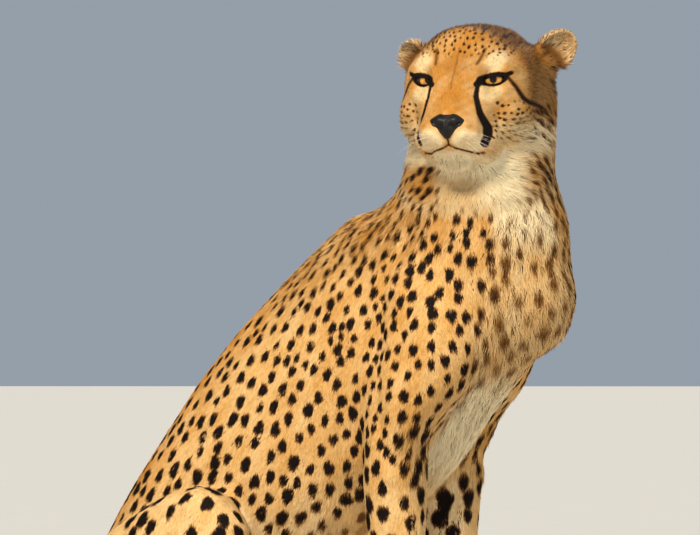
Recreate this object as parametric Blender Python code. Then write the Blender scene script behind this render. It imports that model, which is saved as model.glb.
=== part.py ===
"""A sitting cheetah, life size, with its head turned to its right.

Metres, +Z up. The animal faces -Y, its left side is +X and it sits on the floor at z = 0.
The whole body is shaped from lofted tubes and ellipsoids, melted into one surface, and then
carved along smooth cuts into the parts that a person would name.
"""

import math

import bmesh
import bpy
from mathutils import Matrix, Vector

# ---- driving dimensions -------------------------------------------------------------------
MM = 0.001
GAP = 0.0004  # clearance between neighbouring parts
VOXEL = 0.0034  # grain of the melted surface
BODY_TRIANGLES = 3650

HEAD_AT = Vector((-0.075, -0.340, 0.807))  # midway between the two eyeballs
HEAD_TURN = math.radians(-75)  # the face looks to the animal's right
HEAD_NOD = math.radians(0)

EYE_RADIUS = 15 * MM
EYE_SPACING = 71 * MM  # between the eyeballs' centres
EYE_BACK = -4 * MM

FORELEG_X = 0.072
FORELEG_STEP = 0.009  # the right foreleg stands this far ahead of the middle, the left behind
HOCK_X = 0.125
KNEE_X = 0.132

TOE_COUNT = 4
LEFT, RIGHT = 1, -1
SIDES = {LEFT: "left", RIGHT: "right"}

COAT_TAN = (0.70, 0.42, 0.16)
COAT_CREAM = (0.86, 0.72, 0.48)
COAT_WHITE = (0.88, 0.82, 0.68)
CLAW_HORN = (0.09, 0.07, 0.06)
NOSE_BLACK = (0.015, 0.012, 0.012)
EYE_AMBER = (0.55, 0.28, 0.07)

head_matrix = (
    Matrix.Translation(HEAD_AT)
    @ Matrix.Rotation(HEAD_TURN, 4, "Z")
    @ Matrix.Rotation(HEAD_NOD, 4, "X")
)


# ---- scene and materials ------------------------------------------------------------------
def clear_scene():
    for obj in list(bpy.data.objects):
        bpy.data.objects.remove(obj, do_unlink=True)


def material(name, colour, roughness):
    made = bpy.data.materials.get(name) or bpy.data.materials.new(name)
    made.use_nodes = True
    shader = made.node_tree.nodes["Principled BSDF"]
    shader.inputs["Base Color"].default_value = (*colour, 1.0)
    shader.inputs["Roughness"].default_value = roughness
    shader.inputs["Metallic"].default_value = 0.0
    return made


def object_of(name, bm, matrix=None):
    """A mesh object made from a bmesh, which is freed."""
    if matrix is not None:
        bmesh.ops.transform(bm, matrix=matrix, verts=bm.verts)
    bmesh.ops.recalc_face_normals(bm, faces=bm.faces)
    mesh = bpy.data.meshes.new(name)
    bm.to_mesh(mesh)
    bm.free()
    obj = bpy.data.objects.new(name, mesh)
    bpy.context.scene.collection.objects.link(obj)
    return obj


def bake(obj):
    """Replaces the object's mesh with what its modifiers make of it."""
    bpy.context.view_layer.update()
    graph = bpy.context.evaluated_depsgraph_get()
    mesh = bpy.data.meshes.new_from_object(obj.evaluated_get(graph))
    obj.modifiers.clear()
    obj.data = mesh
    return obj


# ---- flesh: lofted tubes and ellipsoids ---------------------------------------------------
def eased(stations, steps):
    """Catmull-Rom stations between the given ones, on every number of a station."""
    rows = [[*centre, *sizes] for centre, *sizes in stations]
    made = []
    for i in range(len(rows) - 1):
        before, here = rows[max(i - 1, 0)], rows[i]
        after, last = rows[i + 1], rows[min(i + 2, len(rows) - 1)]
        for step in range(steps):
            t = step / steps
            made.append(
                [
                    0.5
                    * (
                        2 * b
                        + (c - a) * t
                        + (2 * a - 5 * b + 4 * c - d) * t * t
                        + (3 * b - a - 3 * c + d) * t**3
                    )
                    for a, b, c, d in zip(before, here, after, last)
                ]
            )
    made.append(rows[-1])
    return [(Vector(row[:3]), *row[3:]) for row in made]


def loft(bm, stations, side=Vector((1, 0, 0)), steps=4, points=24, ends=(0.6, 0.6)):
    """A closed tube through stations of (centre, half width, half depth one way, the other way).

    The first depth lies towards along x side: the back on the trunk, the front on a leg that
    runs downwards. ends says how far each end bulges, in shares of its half width.
    """
    eased_stations = eased(stations, steps)
    centres = [station[0] for station in eased_stations]
    rings = []

    def ring(centre, along, wide, fore, aft):
        across = (side - along * side.dot(along)).normalized()
        upward = along.cross(across)
        verts = bmesh.ops.create_circle(bm, segments=points, radius=1.0)["verts"]
        edges = list({edge for vert in verts for edge in vert.link_edges})
        for vert in verts:
            x, y = vert.co.x, vert.co.y
            depth = fore if y > 0 else aft
            vert.co = centre + across * (wide * x) + upward * (depth * y)
        rings.append((verts, edges))

    def rounded(index, sign, bulge):
        centre, wide, fore, aft = eased_stations[index]
        neighbour = centres[index - sign]
        along = (centre - neighbour).normalized() * sign
        turns = [25, 48, 66, 80]
        for degrees in turns if sign > 0 else reversed(turns):
            share = math.cos(math.radians(degrees))
            out = sign * bulge * wide * math.sin(math.radians(degrees))
            ring(centre + along * out, along, wide * share, fore * share, aft * share)

    rounded(0, -1, ends[0])
    for i, (centre, wide, fore, aft) in enumerate(eased_stations):
        before = centres[max(i - 1, 0)]
        after = centres[min(i + 1, len(centres) - 1)]
        ring(centre, (after - before).normalized(), wide, fore, aft)
    rounded(len(eased_stations) - 1, 1, ends[1])
    for (_, first), (_, second) in zip(rings, rings[1:]):
        bmesh.ops.bridge_loops(bm, edges=first + second)
    for verts, _ in (rings[0], rings[-1]):
        bm.faces.new(verts)


def ellipsoid(bm, centre, radii, turn=(0, 0, 0), segments=24):
    matrix = Matrix.Translation(Vector(centre))
    for axis, degrees in zip("XYZ", turn):
        matrix = matrix @ Matrix.Rotation(math.radians(degrees), 4, axis)
    matrix = matrix @ Matrix.Diagonal((*radii, 1.0))
    bmesh.ops.create_uvsphere(
        bm, u_segments=segments, v_segments=segments // 2, radius=1.0, matrix=matrix
    )


def trunk(bm):
    """Rump to the top of the neck. The back slopes at about 45 degrees, as a sitting cat's does."""
    loft(
        bm,
        [
            ((0, 0.150, 0.046), 0.080, 0.062, 0.066),
            ((0, 0.126, 0.120), 0.098, 0.084, 0.090),
            ((0, 0.090, 0.200), 0.101, 0.099, 0.100),
            ((0, 0.058, 0.255), 0.097, 0.105, 0.100),
            ((0, 0.014, 0.308), 0.095, 0.117, 0.108),
            ((0, -0.052, 0.366), 0.098, 0.138, 0.128),
            ((0, -0.118, 0.424), 0.102, 0.149, 0.140),
            ((0, -0.188, 0.490), 0.104, 0.148, 0.138),
            ((0, -0.242, 0.540), 0.103, 0.146, 0.126),
            ((0, -0.292, 0.588), 0.097, 0.138, 0.124),
            ((0, -0.318, 0.645), 0.088, 0.118, 0.113),
            ((0, -0.323, 0.705), 0.078, 0.091, 0.085),
            ((0.008, -0.321, 0.755), 0.077, 0.084, 0.083),
            ((0.016, -0.318, 0.795), 0.075, 0.081, 0.083),
            ((0.020, -0.316, 0.826), 0.066, 0.070, 0.068),
        ],
        points=32,
        ends=(0.85, 0.5),
    )
    ellipsoid(bm, (0, -0.380, 0.577), (0.061, 0.054, 0.071), (-12, 0, 0))


def arm_stations(s):
    """Shoulder blade, shoulder and upper arm, down to the elbow."""
    back = s * FORELEG_STEP
    return [
        ((s * 0.052, -0.222, 0.622), 0.032, 0.046, 0.044),
        ((s * 0.066, -0.262, 0.588), 0.036, 0.056, 0.056),
        ((s * 0.076, -0.294, 0.545), 0.040, 0.056, 0.062),
        ((s * 0.082, -0.298 + back, 0.505), 0.041, 0.052, 0.062),
        ((s * 0.084, -0.271 + back, 0.463), 0.040, 0.043, 0.056),
        ((s * 0.083, -0.252 + back, 0.420), 0.036, 0.037, 0.037),
        ((s * 0.080, -0.250 + back, 0.380), 0.034, 0.036, 0.037),
    ]


def foreleg(bm, s):
    x = s * FORELEG_X
    back = s * FORELEG_STEP
    loft(bm, arm_stations(s))
    loft(
        bm,
        [
            ((s * 0.082, -0.252 + back, 0.425), 0.035, 0.036, 0.036),
            ((s * 0.079, -0.250 + back, 0.385), 0.034, 0.036, 0.038),
            ((s * 0.077, -0.249 + back, 0.340), 0.032, 0.036, 0.037),
            ((s * 0.074, -0.249 + back, 0.270), 0.027, 0.031, 0.030),
            ((x, -0.251 + back, 0.195), 0.023, 0.026, 0.025),
            ((x, -0.255 + back, 0.135), 0.024, 0.027, 0.027),
            ((x, -0.261 + back, 0.100), 0.024, 0.025, 0.025),
            ((x, -0.270 + back, 0.062), 0.025, 0.023, 0.024),
            ((x, -0.282 + back, 0.032), 0.030, 0.024, 0.028),
        ],
    )
    ellipsoid(bm, (s * 0.086, -0.232 + back, 0.420), (0.017, 0.013, 0.024))
    ellipsoid(bm, (x, -0.226 + back, 0.118), (0.011, 0.008, 0.013))


def thigh_stations(s):
    return [
        ((s * 0.072, 0.132, 0.108), 0.044, 0.070, 0.070),
        ((s * 0.078, 0.118, 0.152), 0.054, 0.084, 0.082),
        ((s * 0.092, 0.080, 0.204), 0.056, 0.090, 0.088),
        ((s * 0.110, 0.028, 0.260), 0.054, 0.080, 0.084),
        ((s * 0.126, -0.024, 0.304), 0.047, 0.062, 0.068),
        ((s * KNEE_X, -0.052, 0.325), 0.041, 0.047, 0.050),
    ]


def shank_stations(s):
    return [
        ((s * KNEE_X, -0.056, 0.324), 0.040, 0.050, 0.050),
        ((s * 0.133, -0.040, 0.268), 0.041, 0.058, 0.056),
        ((s * 0.131, -0.012, 0.205), 0.037, 0.055, 0.054),
        ((s * 0.127, 0.018, 0.140), 0.030, 0.040, 0.042),
        ((s * HOCK_X, 0.042, 0.088), 0.024, 0.030, 0.032),
        ((s * HOCK_X, 0.056, 0.048), 0.023, 0.030, 0.030),
    ]


def haunch(bm, s):
    """The folded hind leg: thigh, knee, shank and the long foot flat on the floor."""
    loft(bm, thigh_stations(s), ends=(0.9, 0.9))
    loft(bm, shank_stations(s))
    loft(
        bm,
        [
            ((s * HOCK_X, 0.072, 0.030), 0.021, 0.026, 0.030),
            ((s * HOCK_X, 0.040, 0.028), 0.024, 0.027, 0.030),
            ((s * 0.127, 0.000, 0.026), 0.025, 0.024, 0.030),
            ((s * 0.129, -0.045, 0.024), 0.026, 0.022, 0.030),
            ((s * 0.131, -0.085, 0.024), 0.030, 0.021, 0.030),
        ],
    )


def paw_places(s, fore):
    """The paw's centre, its heading across the floor, and its half width."""
    if fore:
        return Vector((s * FORELEG_X, -0.292 + s * FORELEG_STEP, 0.0)), math.radians(6 * s), 0.034
    return Vector((s * 0.132, -0.100, 0.0)), math.radians(9 * s), 0.032


def paw(bm, s, fore):
    centre, heading, half = paw_places(s, fore)
    turn = Matrix.Translation(centre) @ Matrix.Rotation(heading, 4, "Z")
    ellipsoid(bm, turn @ Vector((0, 0.004, 0.019)), (half, 0.036, 0.024))
    for i in range(TOE_COUNT):
        place, size = toe(i, half)
        ellipsoid(
            bm, turn @ place, size, (-12, 0, math.degrees(heading) - toe_splay(i))
        )


def toe_splay(i):
    return (i - 1.5) * 9


def toe(i, half):
    """Centre and radii of a toe in the paw's own frame, forward being -Y."""
    out = (i - 1.5) / 1.5
    reach = 0.036 if abs(out) < 0.5 else 0.021
    place = Vector((out * half * 0.74, -reach, 0.0145))
    return place, (0.0118, 0.026, 0.0175)


TAIL = [
    ((0.000, 0.150, 0.075), 0.036),
    ((0.006, 0.206, 0.044), 0.030),
    ((0.040, 0.256, 0.023), 0.025),
    ((0.105, 0.288, 0.019), 0.023),
    ((0.180, 0.274, 0.018), 0.022),
    ((0.236, 0.216, 0.018), 0.022),
    ((0.258, 0.134, 0.018), 0.023),
    ((0.252, 0.050, 0.019), 0.025),
    ((0.232, -0.022, 0.020), 0.027),
    ((0.216, -0.066, 0.018), 0.021),
]


def tail(bm):
    loft(bm, [(place, r, r, r) for place, r in TAIL], points=18, ends=(0.6, 1.2))


def skull(bm):
    """The head, in millimetres in its own frame: face towards -Y, origin between the eyes."""

    def station(y, z, wide, up, down):
        return Vector((0, y, z)) * MM, wide * MM, down * MM, up * MM

    loft(
        bm,
        [
            station(-58, -50, 28, 18, 22),
            station(-50, -49, 33, 25, 27),
            station(-38, -44, 38, 33, 38),
            station(-24, -35, 46, 38, 52),
            station(-8, -22, 57, 42, 68),
            station(12, -10, 68, 50, 82),
            station(36, -4, 75, 57, 90),
            station(62, -2, 77, 62, 92),
            station(90, -3, 74, 62, 92),
            station(112, -8, 66, 54, 88),
            station(130, -16, 52, 42, 74),
        ],
        points=36,
        ends=(0.5, 0.5),
    )
    for s in SIDES:
        parts = {
            "whisker pad": ((s * 17, -51, -57), (21, 22, 17), (0, 0, 0)),
            "cheek": ((s * 42, 42, -36), (31, 66, 38), (0, 0, s * 10)),
            "brow": ((s * 33, 8, 22), (24, 22, 11), (0, s * 10, s * 20)),
            "under the eye": ((s * 34, 6, -26), (20, 18, 13), (0, 0, s * 30)),
            "jaw": ((s * 24, -4, -66), (22, 46, 24), (0, 0, s * 14)),
            "ear root": ((s * 68, 96, 20), (20, 17, 24), (0, s * 40, 0)),
        }
        for centre, radii, turn in parts.values():
            ellipsoid(bm, Vector(centre) * MM, Vector(radii) * MM, turn)
    middle = {
        "chin": ((0, -43, -80), (23, 22, 16)),
        "nose bridge": ((0, -44, -31), (18, 26, 15)),
        "forehead": ((0, 28, 20), (48, 46, 36)),
    }
    for centre, radii in middle.values():
        ellipsoid(bm, Vector(centre) * MM, Vector(radii) * MM)


def melted_body():
    """All the flesh as one smooth closed surface, thinned to the triangle budget."""
    bm = bmesh.new()
    trunk(bm)
    tail(bm)
    for s in SIDES:
        foreleg(bm, s)
        haunch(bm, s)
        paw(bm, s, fore=True)
        paw(bm, s, fore=False)
    head = bmesh.new()
    skull(head)
    bmesh.ops.transform(head, matrix=head_matrix, verts=head.verts)
    mesh = bpy.data.meshes.new("skull")
    head.to_mesh(mesh)
    head.free()
    bm.from_mesh(mesh)
    body = object_of("body", bm)
    remesh = body.modifiers.new("melt", "REMESH")
    remesh.mode, remesh.voxel_size = "VOXEL", VOXEL
    bake(body)
    smooth_by_region(body)
    thin_out(body)
    flatten_soles(body)
    return body


def ramp(value, start, end):
    """0 before start, 1 after end, and straight between."""
    return min(max((value - start) / (end - start), 0.0), 1.0)


def nearness_to_detail(point):
    """1 on the head and the feet, where the form is fine, and 0 on the rest of the body."""
    face = HEAD_AT + Vector((-0.03, -0.01, -0.02))
    head = 1.0 - ramp((point - face).length, 0.09, 0.15)
    toes = 1.0 - ramp(point.z, 0.055, 0.10)
    return max(head, toes * (1.0 - ramp(point.y, -0.06, 0.0)))


def smooth_by_region(body):
    """Blends the muscles into each other, and spares the face, the lower legs and the toes."""
    broad = body.vertex_groups.new(name="broad")
    fine = body.vertex_groups.new(name="fine")
    for vert in body.data.vertices:
        slender = 1.0 - ramp(vert.co.z, 0.24, 0.34)
        detail = max(nearness_to_detail(vert.co), slender)
        broad.add([vert.index], 1.0 - 0.8 * detail, "REPLACE")
        fine.add([vert.index], detail, "REPLACE")
    for group, turns in (("broad", 60), ("fine", 14)):
        smooth = body.modifiers.new(group, "SMOOTH")
        smooth.factor, smooth.iterations, smooth.vertex_group = 0.6, turns, group
    bake(body)


def flatten_soles(body):
    """Cuts everything off at the floor, which leaves small flats at one level."""
    bm = bmesh.new()
    bm.from_mesh(body.data)
    cut = bmesh.ops.bisect_plane(
        bm,
        geom=bm.verts[:] + bm.edges[:] + bm.faces[:],
        plane_co=(0, 0, 0),
        plane_no=(0, 0, -1),
        clear_outer=True,
    )
    edges = [e for e in cut["geom_cut"] if isinstance(e, bmesh.types.BMEdge)]
    bmesh.ops.edgenet_fill(bm, edges=edges)
    bmesh.ops.triangulate(bm, faces=[f for f in bm.faces if len(f.verts) > 4])
    bm.to_mesh(body.data)
    bm.free()


def triangle_count(obj):
    return sum(len(face.vertices) - 2 for face in obj.data.polygons)


def thin_out(body):
    """Collapses the surface to the budget, keeping more triangles on the head and feet."""
    keep = body.vertex_groups.new(name="thin")
    for vert in body.data.vertices:
        weight = 1.0 - 0.25 * nearness_to_detail(vert.co)
        keep.add([vert.index], weight, "REPLACE")
    thin = body.modifiers.new("thin", "DECIMATE")
    thin.ratio = BODY_TRIANGLES / triangle_count(body)
    thin.vertex_group = "thin"
    thin.vertex_group_factor = 0.5
    bake(body)


# ---- carving the body into its parts ------------------------------------------------------
def box_cutter(low, high, matrix=None):
    """A maker of a box from corner low to corner high, grown by a margin on every side."""

    def make(bm, margin):
        grown = [(a - margin, b + margin) for a, b in zip(low, high)]
        size = Vector([b - a for a, b in grown])
        middle = Vector([(a + b) / 2 for a, b in grown])
        place = Matrix.Translation(middle) @ Matrix.Diagonal((*size, 1.0))
        bmesh.ops.create_cube(bm, size=1.0, matrix=(matrix or Matrix()) @ place)

    return make


def side_cutter(outline, near, far):
    """A maker of a slab from x = near to x = far whose side view is a convex outline."""

    def make(bm, margin):
        points = [Vector((0, *point)) for point in outline]
        middle = sum(points, Vector()) / len(points)
        grown = [p + (p - middle).normalized() * margin * 1.5 for p in points]
        low, high = sorted((near, far))
        verts = [bm.verts.new(p + Vector((low - margin, 0, 0))) for p in grown]
        face = bm.faces.new(verts)
        made = bmesh.ops.extrude_face_region(bm, geom=[face])["geom"]
        moved = [v for v in made if isinstance(v, bmesh.types.BMVert)]
        reach = Vector((high - low + 2 * margin, 0, 0))
        bmesh.ops.translate(bm, verts=moved, vec=reach)

    return make


def post_cutter(centre, radii, low, high):
    """A maker of an upright elliptical post."""

    def make(bm, margin):
        place = Matrix.Translation((*centre, (low + high) / 2))
        wide, deep = (r + margin for r in radii)
        bmesh.ops.create_cone(
            bm,
            cap_ends=True,
            segments=20,
            radius1=1.0,
            radius2=1.0,
            depth=high - low + 2 * margin,
            matrix=place @ Matrix.Diagonal((wide, deep, 1.0, 1.0)),
        )

    return make


def tilted(origin, axis, degrees):
    return Matrix.Translation(origin) @ Matrix.Rotation(math.radians(degrees), 4, axis)


def boolean(obj, cutter, operation):
    cut = obj.modifiers.new(operation, "BOOLEAN")
    cut.operation, cut.solver, cut.object = operation, "EXACT", cutter
    bake(obj)


def largest_only(obj):
    """Drops the crumbs that a cut leaves beside the part."""
    bm = bmesh.new()
    bm.from_mesh(obj.data)
    bmesh.ops.remove_doubles(bm, verts=bm.verts, dist=0.000001)
    bmesh.ops.dissolve_degenerate(bm, edges=bm.edges, dist=0.000001)
    bmesh.ops.triangulate(bm, faces=bm.faces)
    left = set(bm.verts)
    islands = []
    while left:
        stack = [left.pop()]
        island = list(stack)
        while stack:
            for edge in stack.pop().link_edges:
                for vert in edge.verts:
                    if vert in left:
                        left.discard(vert)
                        stack.append(vert)
                        island.append(vert)
        islands.append(island)
    islands.sort(key=len)
    for island in islands[:-1]:
        bmesh.ops.delete(bm, geom=island, context="VERTS")
    bm.to_mesh(obj.data)
    bm.free()


def copied(obj, name):
    copy = bpy.data.objects.new(name, obj.data.copy())
    bpy.context.scene.collection.objects.link(copy)
    return copy


def with_cutter(obj, make, margin, operation):
    bm = bmesh.new()
    make(bm, margin)
    cutter = object_of("cutter", bm)
    boolean(obj, cutter, operation)
    bpy.data.objects.remove(cutter, do_unlink=True)


def carve(body, name, make):
    """Takes what lies in the cutter out of the body as a part, with a thin gap round it."""
    part = copied(body, name)
    with_cutter(part, make, 0.0, "INTERSECT")
    with_cutter(body, make, GAP, "DIFFERENCE")
    largest_only(part)
    return part


# Where the limbs part from the trunk, seen from the side, as (y, z).
ARM_OUTLINE = [
    (-0.200, 0.380),
    (-0.190, 0.450),
    (-0.185, 0.540),
    (-0.195, 0.600),
    (-0.220, 0.635),
    (-0.255, 0.645),
    (-0.310, 0.620),
    (-0.360, 0.580),
    (-0.392, 0.530),
    (-0.398, 0.480),
    (-0.370, 0.425),
    (-0.315, 0.380),
]
THIGH_OUTLINE = [
    (-0.135, 0.345),
    (0.118, 0.058),
    (0.135, 0.045),
    (0.172, 0.048),
    (0.192, 0.090),
    (0.192, 0.180),
    (0.168, 0.240),
    (0.120, 0.305),
    (0.060, 0.355),
    (0.000, 0.388),
    (-0.060, 0.402),
    (-0.120, 0.388),
]
SHANK_OUTLINE = [
    (-0.135, 0.343),
    (-0.140, 0.200),
    (-0.060, 0.058),
    (0.088, 0.058),
    (0.082, 0.102),
]


def carve_all(body):
    made = []
    face = Vector((-math.sin(-HEAD_TURN), -math.cos(HEAD_TURN), 0))
    nape = HEAD_AT - face * 0.100 + Vector((0, 0, -0.028))
    head_turned = (
        Matrix.Translation(nape)
        @ Matrix.Rotation(HEAD_TURN, 4, "Z")
        @ Matrix.Rotation(math.radians(-29), 4, "X")
    )
    cuts = {
        "head": box_cutter((-0.2, -0.3, -0.12), (0.2, 0, 0.2), head_turned),
        "neck": box_cutter(
            (-0.2, -0.2, 0), (0.2, 0.2, 0.3), tilted((0, -0.32, 0.648), "X", 22.6)
        ),
        "tail_base": box_cutter((-0.1, 0.214, -0.1), (0.182, 0.4, 0.1)),
        "tail_middle": box_cutter((0.182, 0.092, -0.1), (0.4, 0.4, 0.1)),
        "tail_tip": box_cutter((0.19, -0.3, -0.1), (0.4, 0.092, 0.1)),
    }
    for name, make in cuts.items():
        made.append(carve(body, name, make))
    for s, side in SIDES.items():
        near, far = sorted((s * 0.030, s * 0.20))
        limbs = {
            "paw_front": box_cutter((near, -0.40, -0.1), (far, -0.200, 0.064)),
            "forearm": post_cutter((s * 0.080, -0.250), (0.042, 0.052), 0.03, 0.384),
            "upper_arm": side_cutter(ARM_OUTLINE, s * 0.044, s * 0.22),
        }
        near, far = sorted((s * 0.098, s * 0.22))
        limbs["foot"] = box_cutter((near, -0.19, -0.1), (far, 0.098, 0.062))
        limbs["shank"] = side_cutter(SHANK_OUTLINE, s * 0.086, s * 0.22)
        limbs["thigh"] = side_cutter(THIGH_OUTLINE, s * 0.060, s * 0.22)
        for name, make in limbs.items():
            made.append(carve(body, f"{name}_{side}", make))
    largest_only(body)
    body.name = "trunk"
    return [body, *made]


# ---- ears, eyes, nose and claws -----------------------------------------------------------
def ear(s):
    """A low, wide, rounded cup that faces forwards and out."""
    tip_out, tip_up = (100, 60) if s == LEFT else (94, 55)
    root, tip = Vector((s * 64, 96, 20)), Vector((s * tip_out, 98, tip_up))
    lean = math.degrees(math.atan2(abs(tip.x - root.x), tip.z - root.z))
    middle = (root + tip) / 2
    place = Matrix.Translation(middle * MM)
    place = place @ Matrix.Rotation(math.radians(s * lean), 4, "Y")
    place = place @ Matrix.Rotation(math.radians(s * 28), 4, "Z")
    bm = bmesh.new()
    half = (tip - root).length / 2
    bmesh.ops.create_uvsphere(
        bm,
        u_segments=16,
        v_segments=9,
        radius=1.0,
        matrix=place @ Matrix.Diagonal((24 * MM, 10 * MM, (half + 3) * MM, 1.0)),
    )
    cup = object_of("ear_" + SIDES[s], bm, head_matrix)
    bm = bmesh.new()
    hollow = place @ Matrix.Translation((0, -9 * MM, 2 * MM))
    bmesh.ops.create_uvsphere(
        bm,
        u_segments=14,
        v_segments=8,
        radius=1.0,
        matrix=hollow @ Matrix.Diagonal((20 * MM, 13 * MM, half * MM, 1.0)),
    )
    cutter = object_of("hollow", bm, head_matrix)
    boolean(cup, cutter, "DIFFERENCE")
    bpy.data.objects.remove(cutter, do_unlink=True)
    return cup


def nose_stations(margin):
    rows = [(-39, -63, 12), (-44, -66, 18.5), (-50, -67, 16), (-57, -65, 9), (-62, -62, 4)]
    return [
        (
            Vector((0, y, z)) * MM,
            wide * MM + margin,
            9 * MM + margin,
            9 * MM + margin,
        )
        for z, y, wide in rows
    ]


def nose(margin, name):
    bm = bmesh.new()
    loft(bm, nose_stations(margin), steps=1, points=10, ends=(0.25, 0.5))
    return object_of(name, bm, head_matrix)


def eye_opening(s):
    """What is hollowed out of the head in front of an eyeball, an almond between the lids."""
    bm = bmesh.new()
    ellipsoid(
        bm,
        Vector((s * 38, -20, -1)) * MM,
        Vector((16, 16, 8)) * MM,
        (0, s * -6, s * 24),
        segments=14,
    )
    return object_of("opening", bm, head_matrix)


def eye(s, margin, name):
    bm = bmesh.new()
    place = Matrix.Translation((s * EYE_SPACING / 2, EYE_BACK, 0))
    bmesh.ops.create_uvsphere(
        bm, u_segments=14, v_segments=9, radius=EYE_RADIUS + margin, matrix=place
    )
    return object_of(name, bm, head_matrix)


def claw(s, fore, i, margin, name):
    centre, heading, half = paw_places(s, fore)
    turn = Matrix.Translation(centre) @ Matrix.Rotation(heading, 4, "Z")
    place, size = toe(i, half)
    splay = math.radians(toe_splay(i))
    tip = place + Vector((math.sin(splay), -math.cos(splay), 0)) * (size[1] - 0.003)
    tip.z = 0.0155
    matrix = (
        turn
        @ Matrix.Translation(tip)
        @ Matrix.Rotation(splay, 4, "Z")
        @ Matrix.Rotation(math.radians(113), 4, "X")
    )
    bm = bmesh.new()
    bmesh.ops.create_cone(
        bm,
        cap_ends=True,
        segments=8,
        radius1=0.0034 + margin,
        radius2=0.0008 + margin,
        depth=0.012 + 2 * margin,
        matrix=matrix,
    )
    return object_of(name, bm)


def fit_into(host, maker, name, gap=GAP):
    """Adds a part that is set into its host, which gets a socket with a thin gap."""
    cutter = maker(gap, "socket")
    boolean(host, cutter, "DIFFERENCE")
    bpy.data.objects.remove(cutter, do_unlink=True)
    largest_only(host)
    return maker(0.0, name)


def finish(obj, look):
    """Flat faces, one material and triangles, ready to be read as a solid."""
    largest_only(obj)
    obj.data.materials.clear()
    obj.data.materials.append(look)


def stand_on_origin(parts):
    """Moves the animal so that the origin is the middle of the base of its bounding box."""
    points = [vert.co for part in parts for vert in part.data.vertices]
    middle = [(min(p[i] for p in points) + max(p[i] for p in points)) / 2 for i in (0, 1)]
    for part in parts:
        part.data.transform(Matrix.Translation((-middle[0], -middle[1], 0)))
    print("The origin is at", [round(value, 4) for value in middle], "of the sizes' frame")


def build():
    clear_scene()
    whole = melted_body()
    parts = {part.name: part for part in carve_all(whole)}
    head = parts["head"]
    parts["nose"] = fit_into(head, nose, "nose", gap=2.5 * GAP)
    for s, side in SIDES.items():
        name = f"eye_{side}"
        opening = eye_opening(s)
        boolean(head, opening, "DIFFERENCE")
        bpy.data.objects.remove(opening, do_unlink=True)
        parts[name] = fit_into(head, lambda m, n, s=s: eye(s, m, n), name)
        cup = ear(s)
        grown = copied(head, "grown head")
        swell = grown.modifiers.new("swell", "DISPLACE")
        swell.strength, swell.mid_level = GAP, 0.0
        bake(grown)
        boolean(cup, grown, "DIFFERENCE")
        bpy.data.objects.remove(grown, do_unlink=True)
        parts[cup.name] = cup
        for fore, host in ((True, f"paw_front_{side}"), (False, f"foot_{side}")):
            for i in range(TOE_COUNT):
                which = "front" if fore else "hind"
                name = f"claw_{which}_{side}_{i + 1}"
                parts[name] = fit_into(
                    parts[host],
                    lambda m, n, s=s, fore=fore, i=i: claw(s, fore, i, m, n),
                    name,
                )
    looks = {
        "tan": material("coat_tan", COAT_TAN, 0.9),
        "cream": material("coat_cream", COAT_CREAM, 0.9),
        "horn": material("claw_horn", CLAW_HORN, 0.4),
        "nose": material("nose_leather", NOSE_BLACK, 0.35),
        "eye": material("eye_amber", EYE_AMBER, 0.1),
    }
    stand_on_origin(parts.values())
    for name, part in parts.items():
        look = "tan"
        for start, other in (("claw", "horn"), ("nose", "nose"), ("eye", "eye")):
            if name.startswith(start):
                look = other
        if name.startswith(("ear", "tail_tip")):
            look = "cream"
        finish(part, looks[look])


build()
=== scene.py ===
import math

import bmesh
import bpy
import numpy as np
from mathutils import Matrix, Vector


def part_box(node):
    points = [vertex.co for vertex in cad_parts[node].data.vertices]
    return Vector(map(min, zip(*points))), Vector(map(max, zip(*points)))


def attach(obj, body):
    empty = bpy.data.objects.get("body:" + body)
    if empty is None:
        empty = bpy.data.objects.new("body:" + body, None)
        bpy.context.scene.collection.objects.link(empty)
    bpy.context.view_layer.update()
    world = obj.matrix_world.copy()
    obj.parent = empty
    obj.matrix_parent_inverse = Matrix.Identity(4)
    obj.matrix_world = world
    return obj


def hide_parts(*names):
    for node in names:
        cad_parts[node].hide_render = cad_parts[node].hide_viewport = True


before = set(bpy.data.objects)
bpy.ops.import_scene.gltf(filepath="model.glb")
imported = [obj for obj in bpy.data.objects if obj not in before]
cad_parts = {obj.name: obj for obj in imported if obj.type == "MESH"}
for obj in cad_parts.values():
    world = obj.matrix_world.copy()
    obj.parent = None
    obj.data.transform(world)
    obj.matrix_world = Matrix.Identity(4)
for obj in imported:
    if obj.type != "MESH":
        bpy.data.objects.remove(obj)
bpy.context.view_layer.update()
mm = 0.001
aboveFloor = 0.3 * mm
sides = {"left": 1, "right": -1}


# Places, read off the frame's nodes.
def boxAt(node, x=0.5, y=0.5, z=0.5):
    low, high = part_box(node)
    return np.array([low[i] + (high[i] - low[i]) * t for i, t in enumerate((x, y, z))])


eyeAt = {side: boxAt("eye_" + side) for side in sides}
eyeRadius = (boxAt("eye_left", z=1) - boxAt("eye_left", z=0))[2] / 2
headUp = np.array([0, 0, 1.0])
headLeft = eyeAt["left"] - eyeAt["right"]
eyeGap = float(np.linalg.norm(headLeft))
headLeft = headLeft / eyeGap
headBack = np.cross(headUp, headLeft)
headAxes = np.array([headLeft, headBack, headUp])
headOrigin = (eyeAt["left"] + eyeAt["right"]) / 2 + headBack * 4 * mm
middleX = boxAt("trunk")[0]


def toHead(points):
    # Millimetres in the head's own frame: left, back, up, from between the eyes.
    return (points - headOrigin) @ headAxes.T / mm


def fromHead(place):
    # One place or an array of places in the head's frame, as the scene's own.
    return headOrigin + np.asarray(place) * mm @ headAxes


def ramp(value, start, end):
    # 0 up to start, 1 from end, and smooth between; fall is its opposite.
    t = np.clip((value - start) / (end - start), 0, 1)
    return t * t * (3 - 2 * t)


def fall(value, start, end):
    return 1 - ramp(value, start, end)


def bump(value, centre, width):
    return np.exp(-(((value - centre) / width) ** 2))


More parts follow.
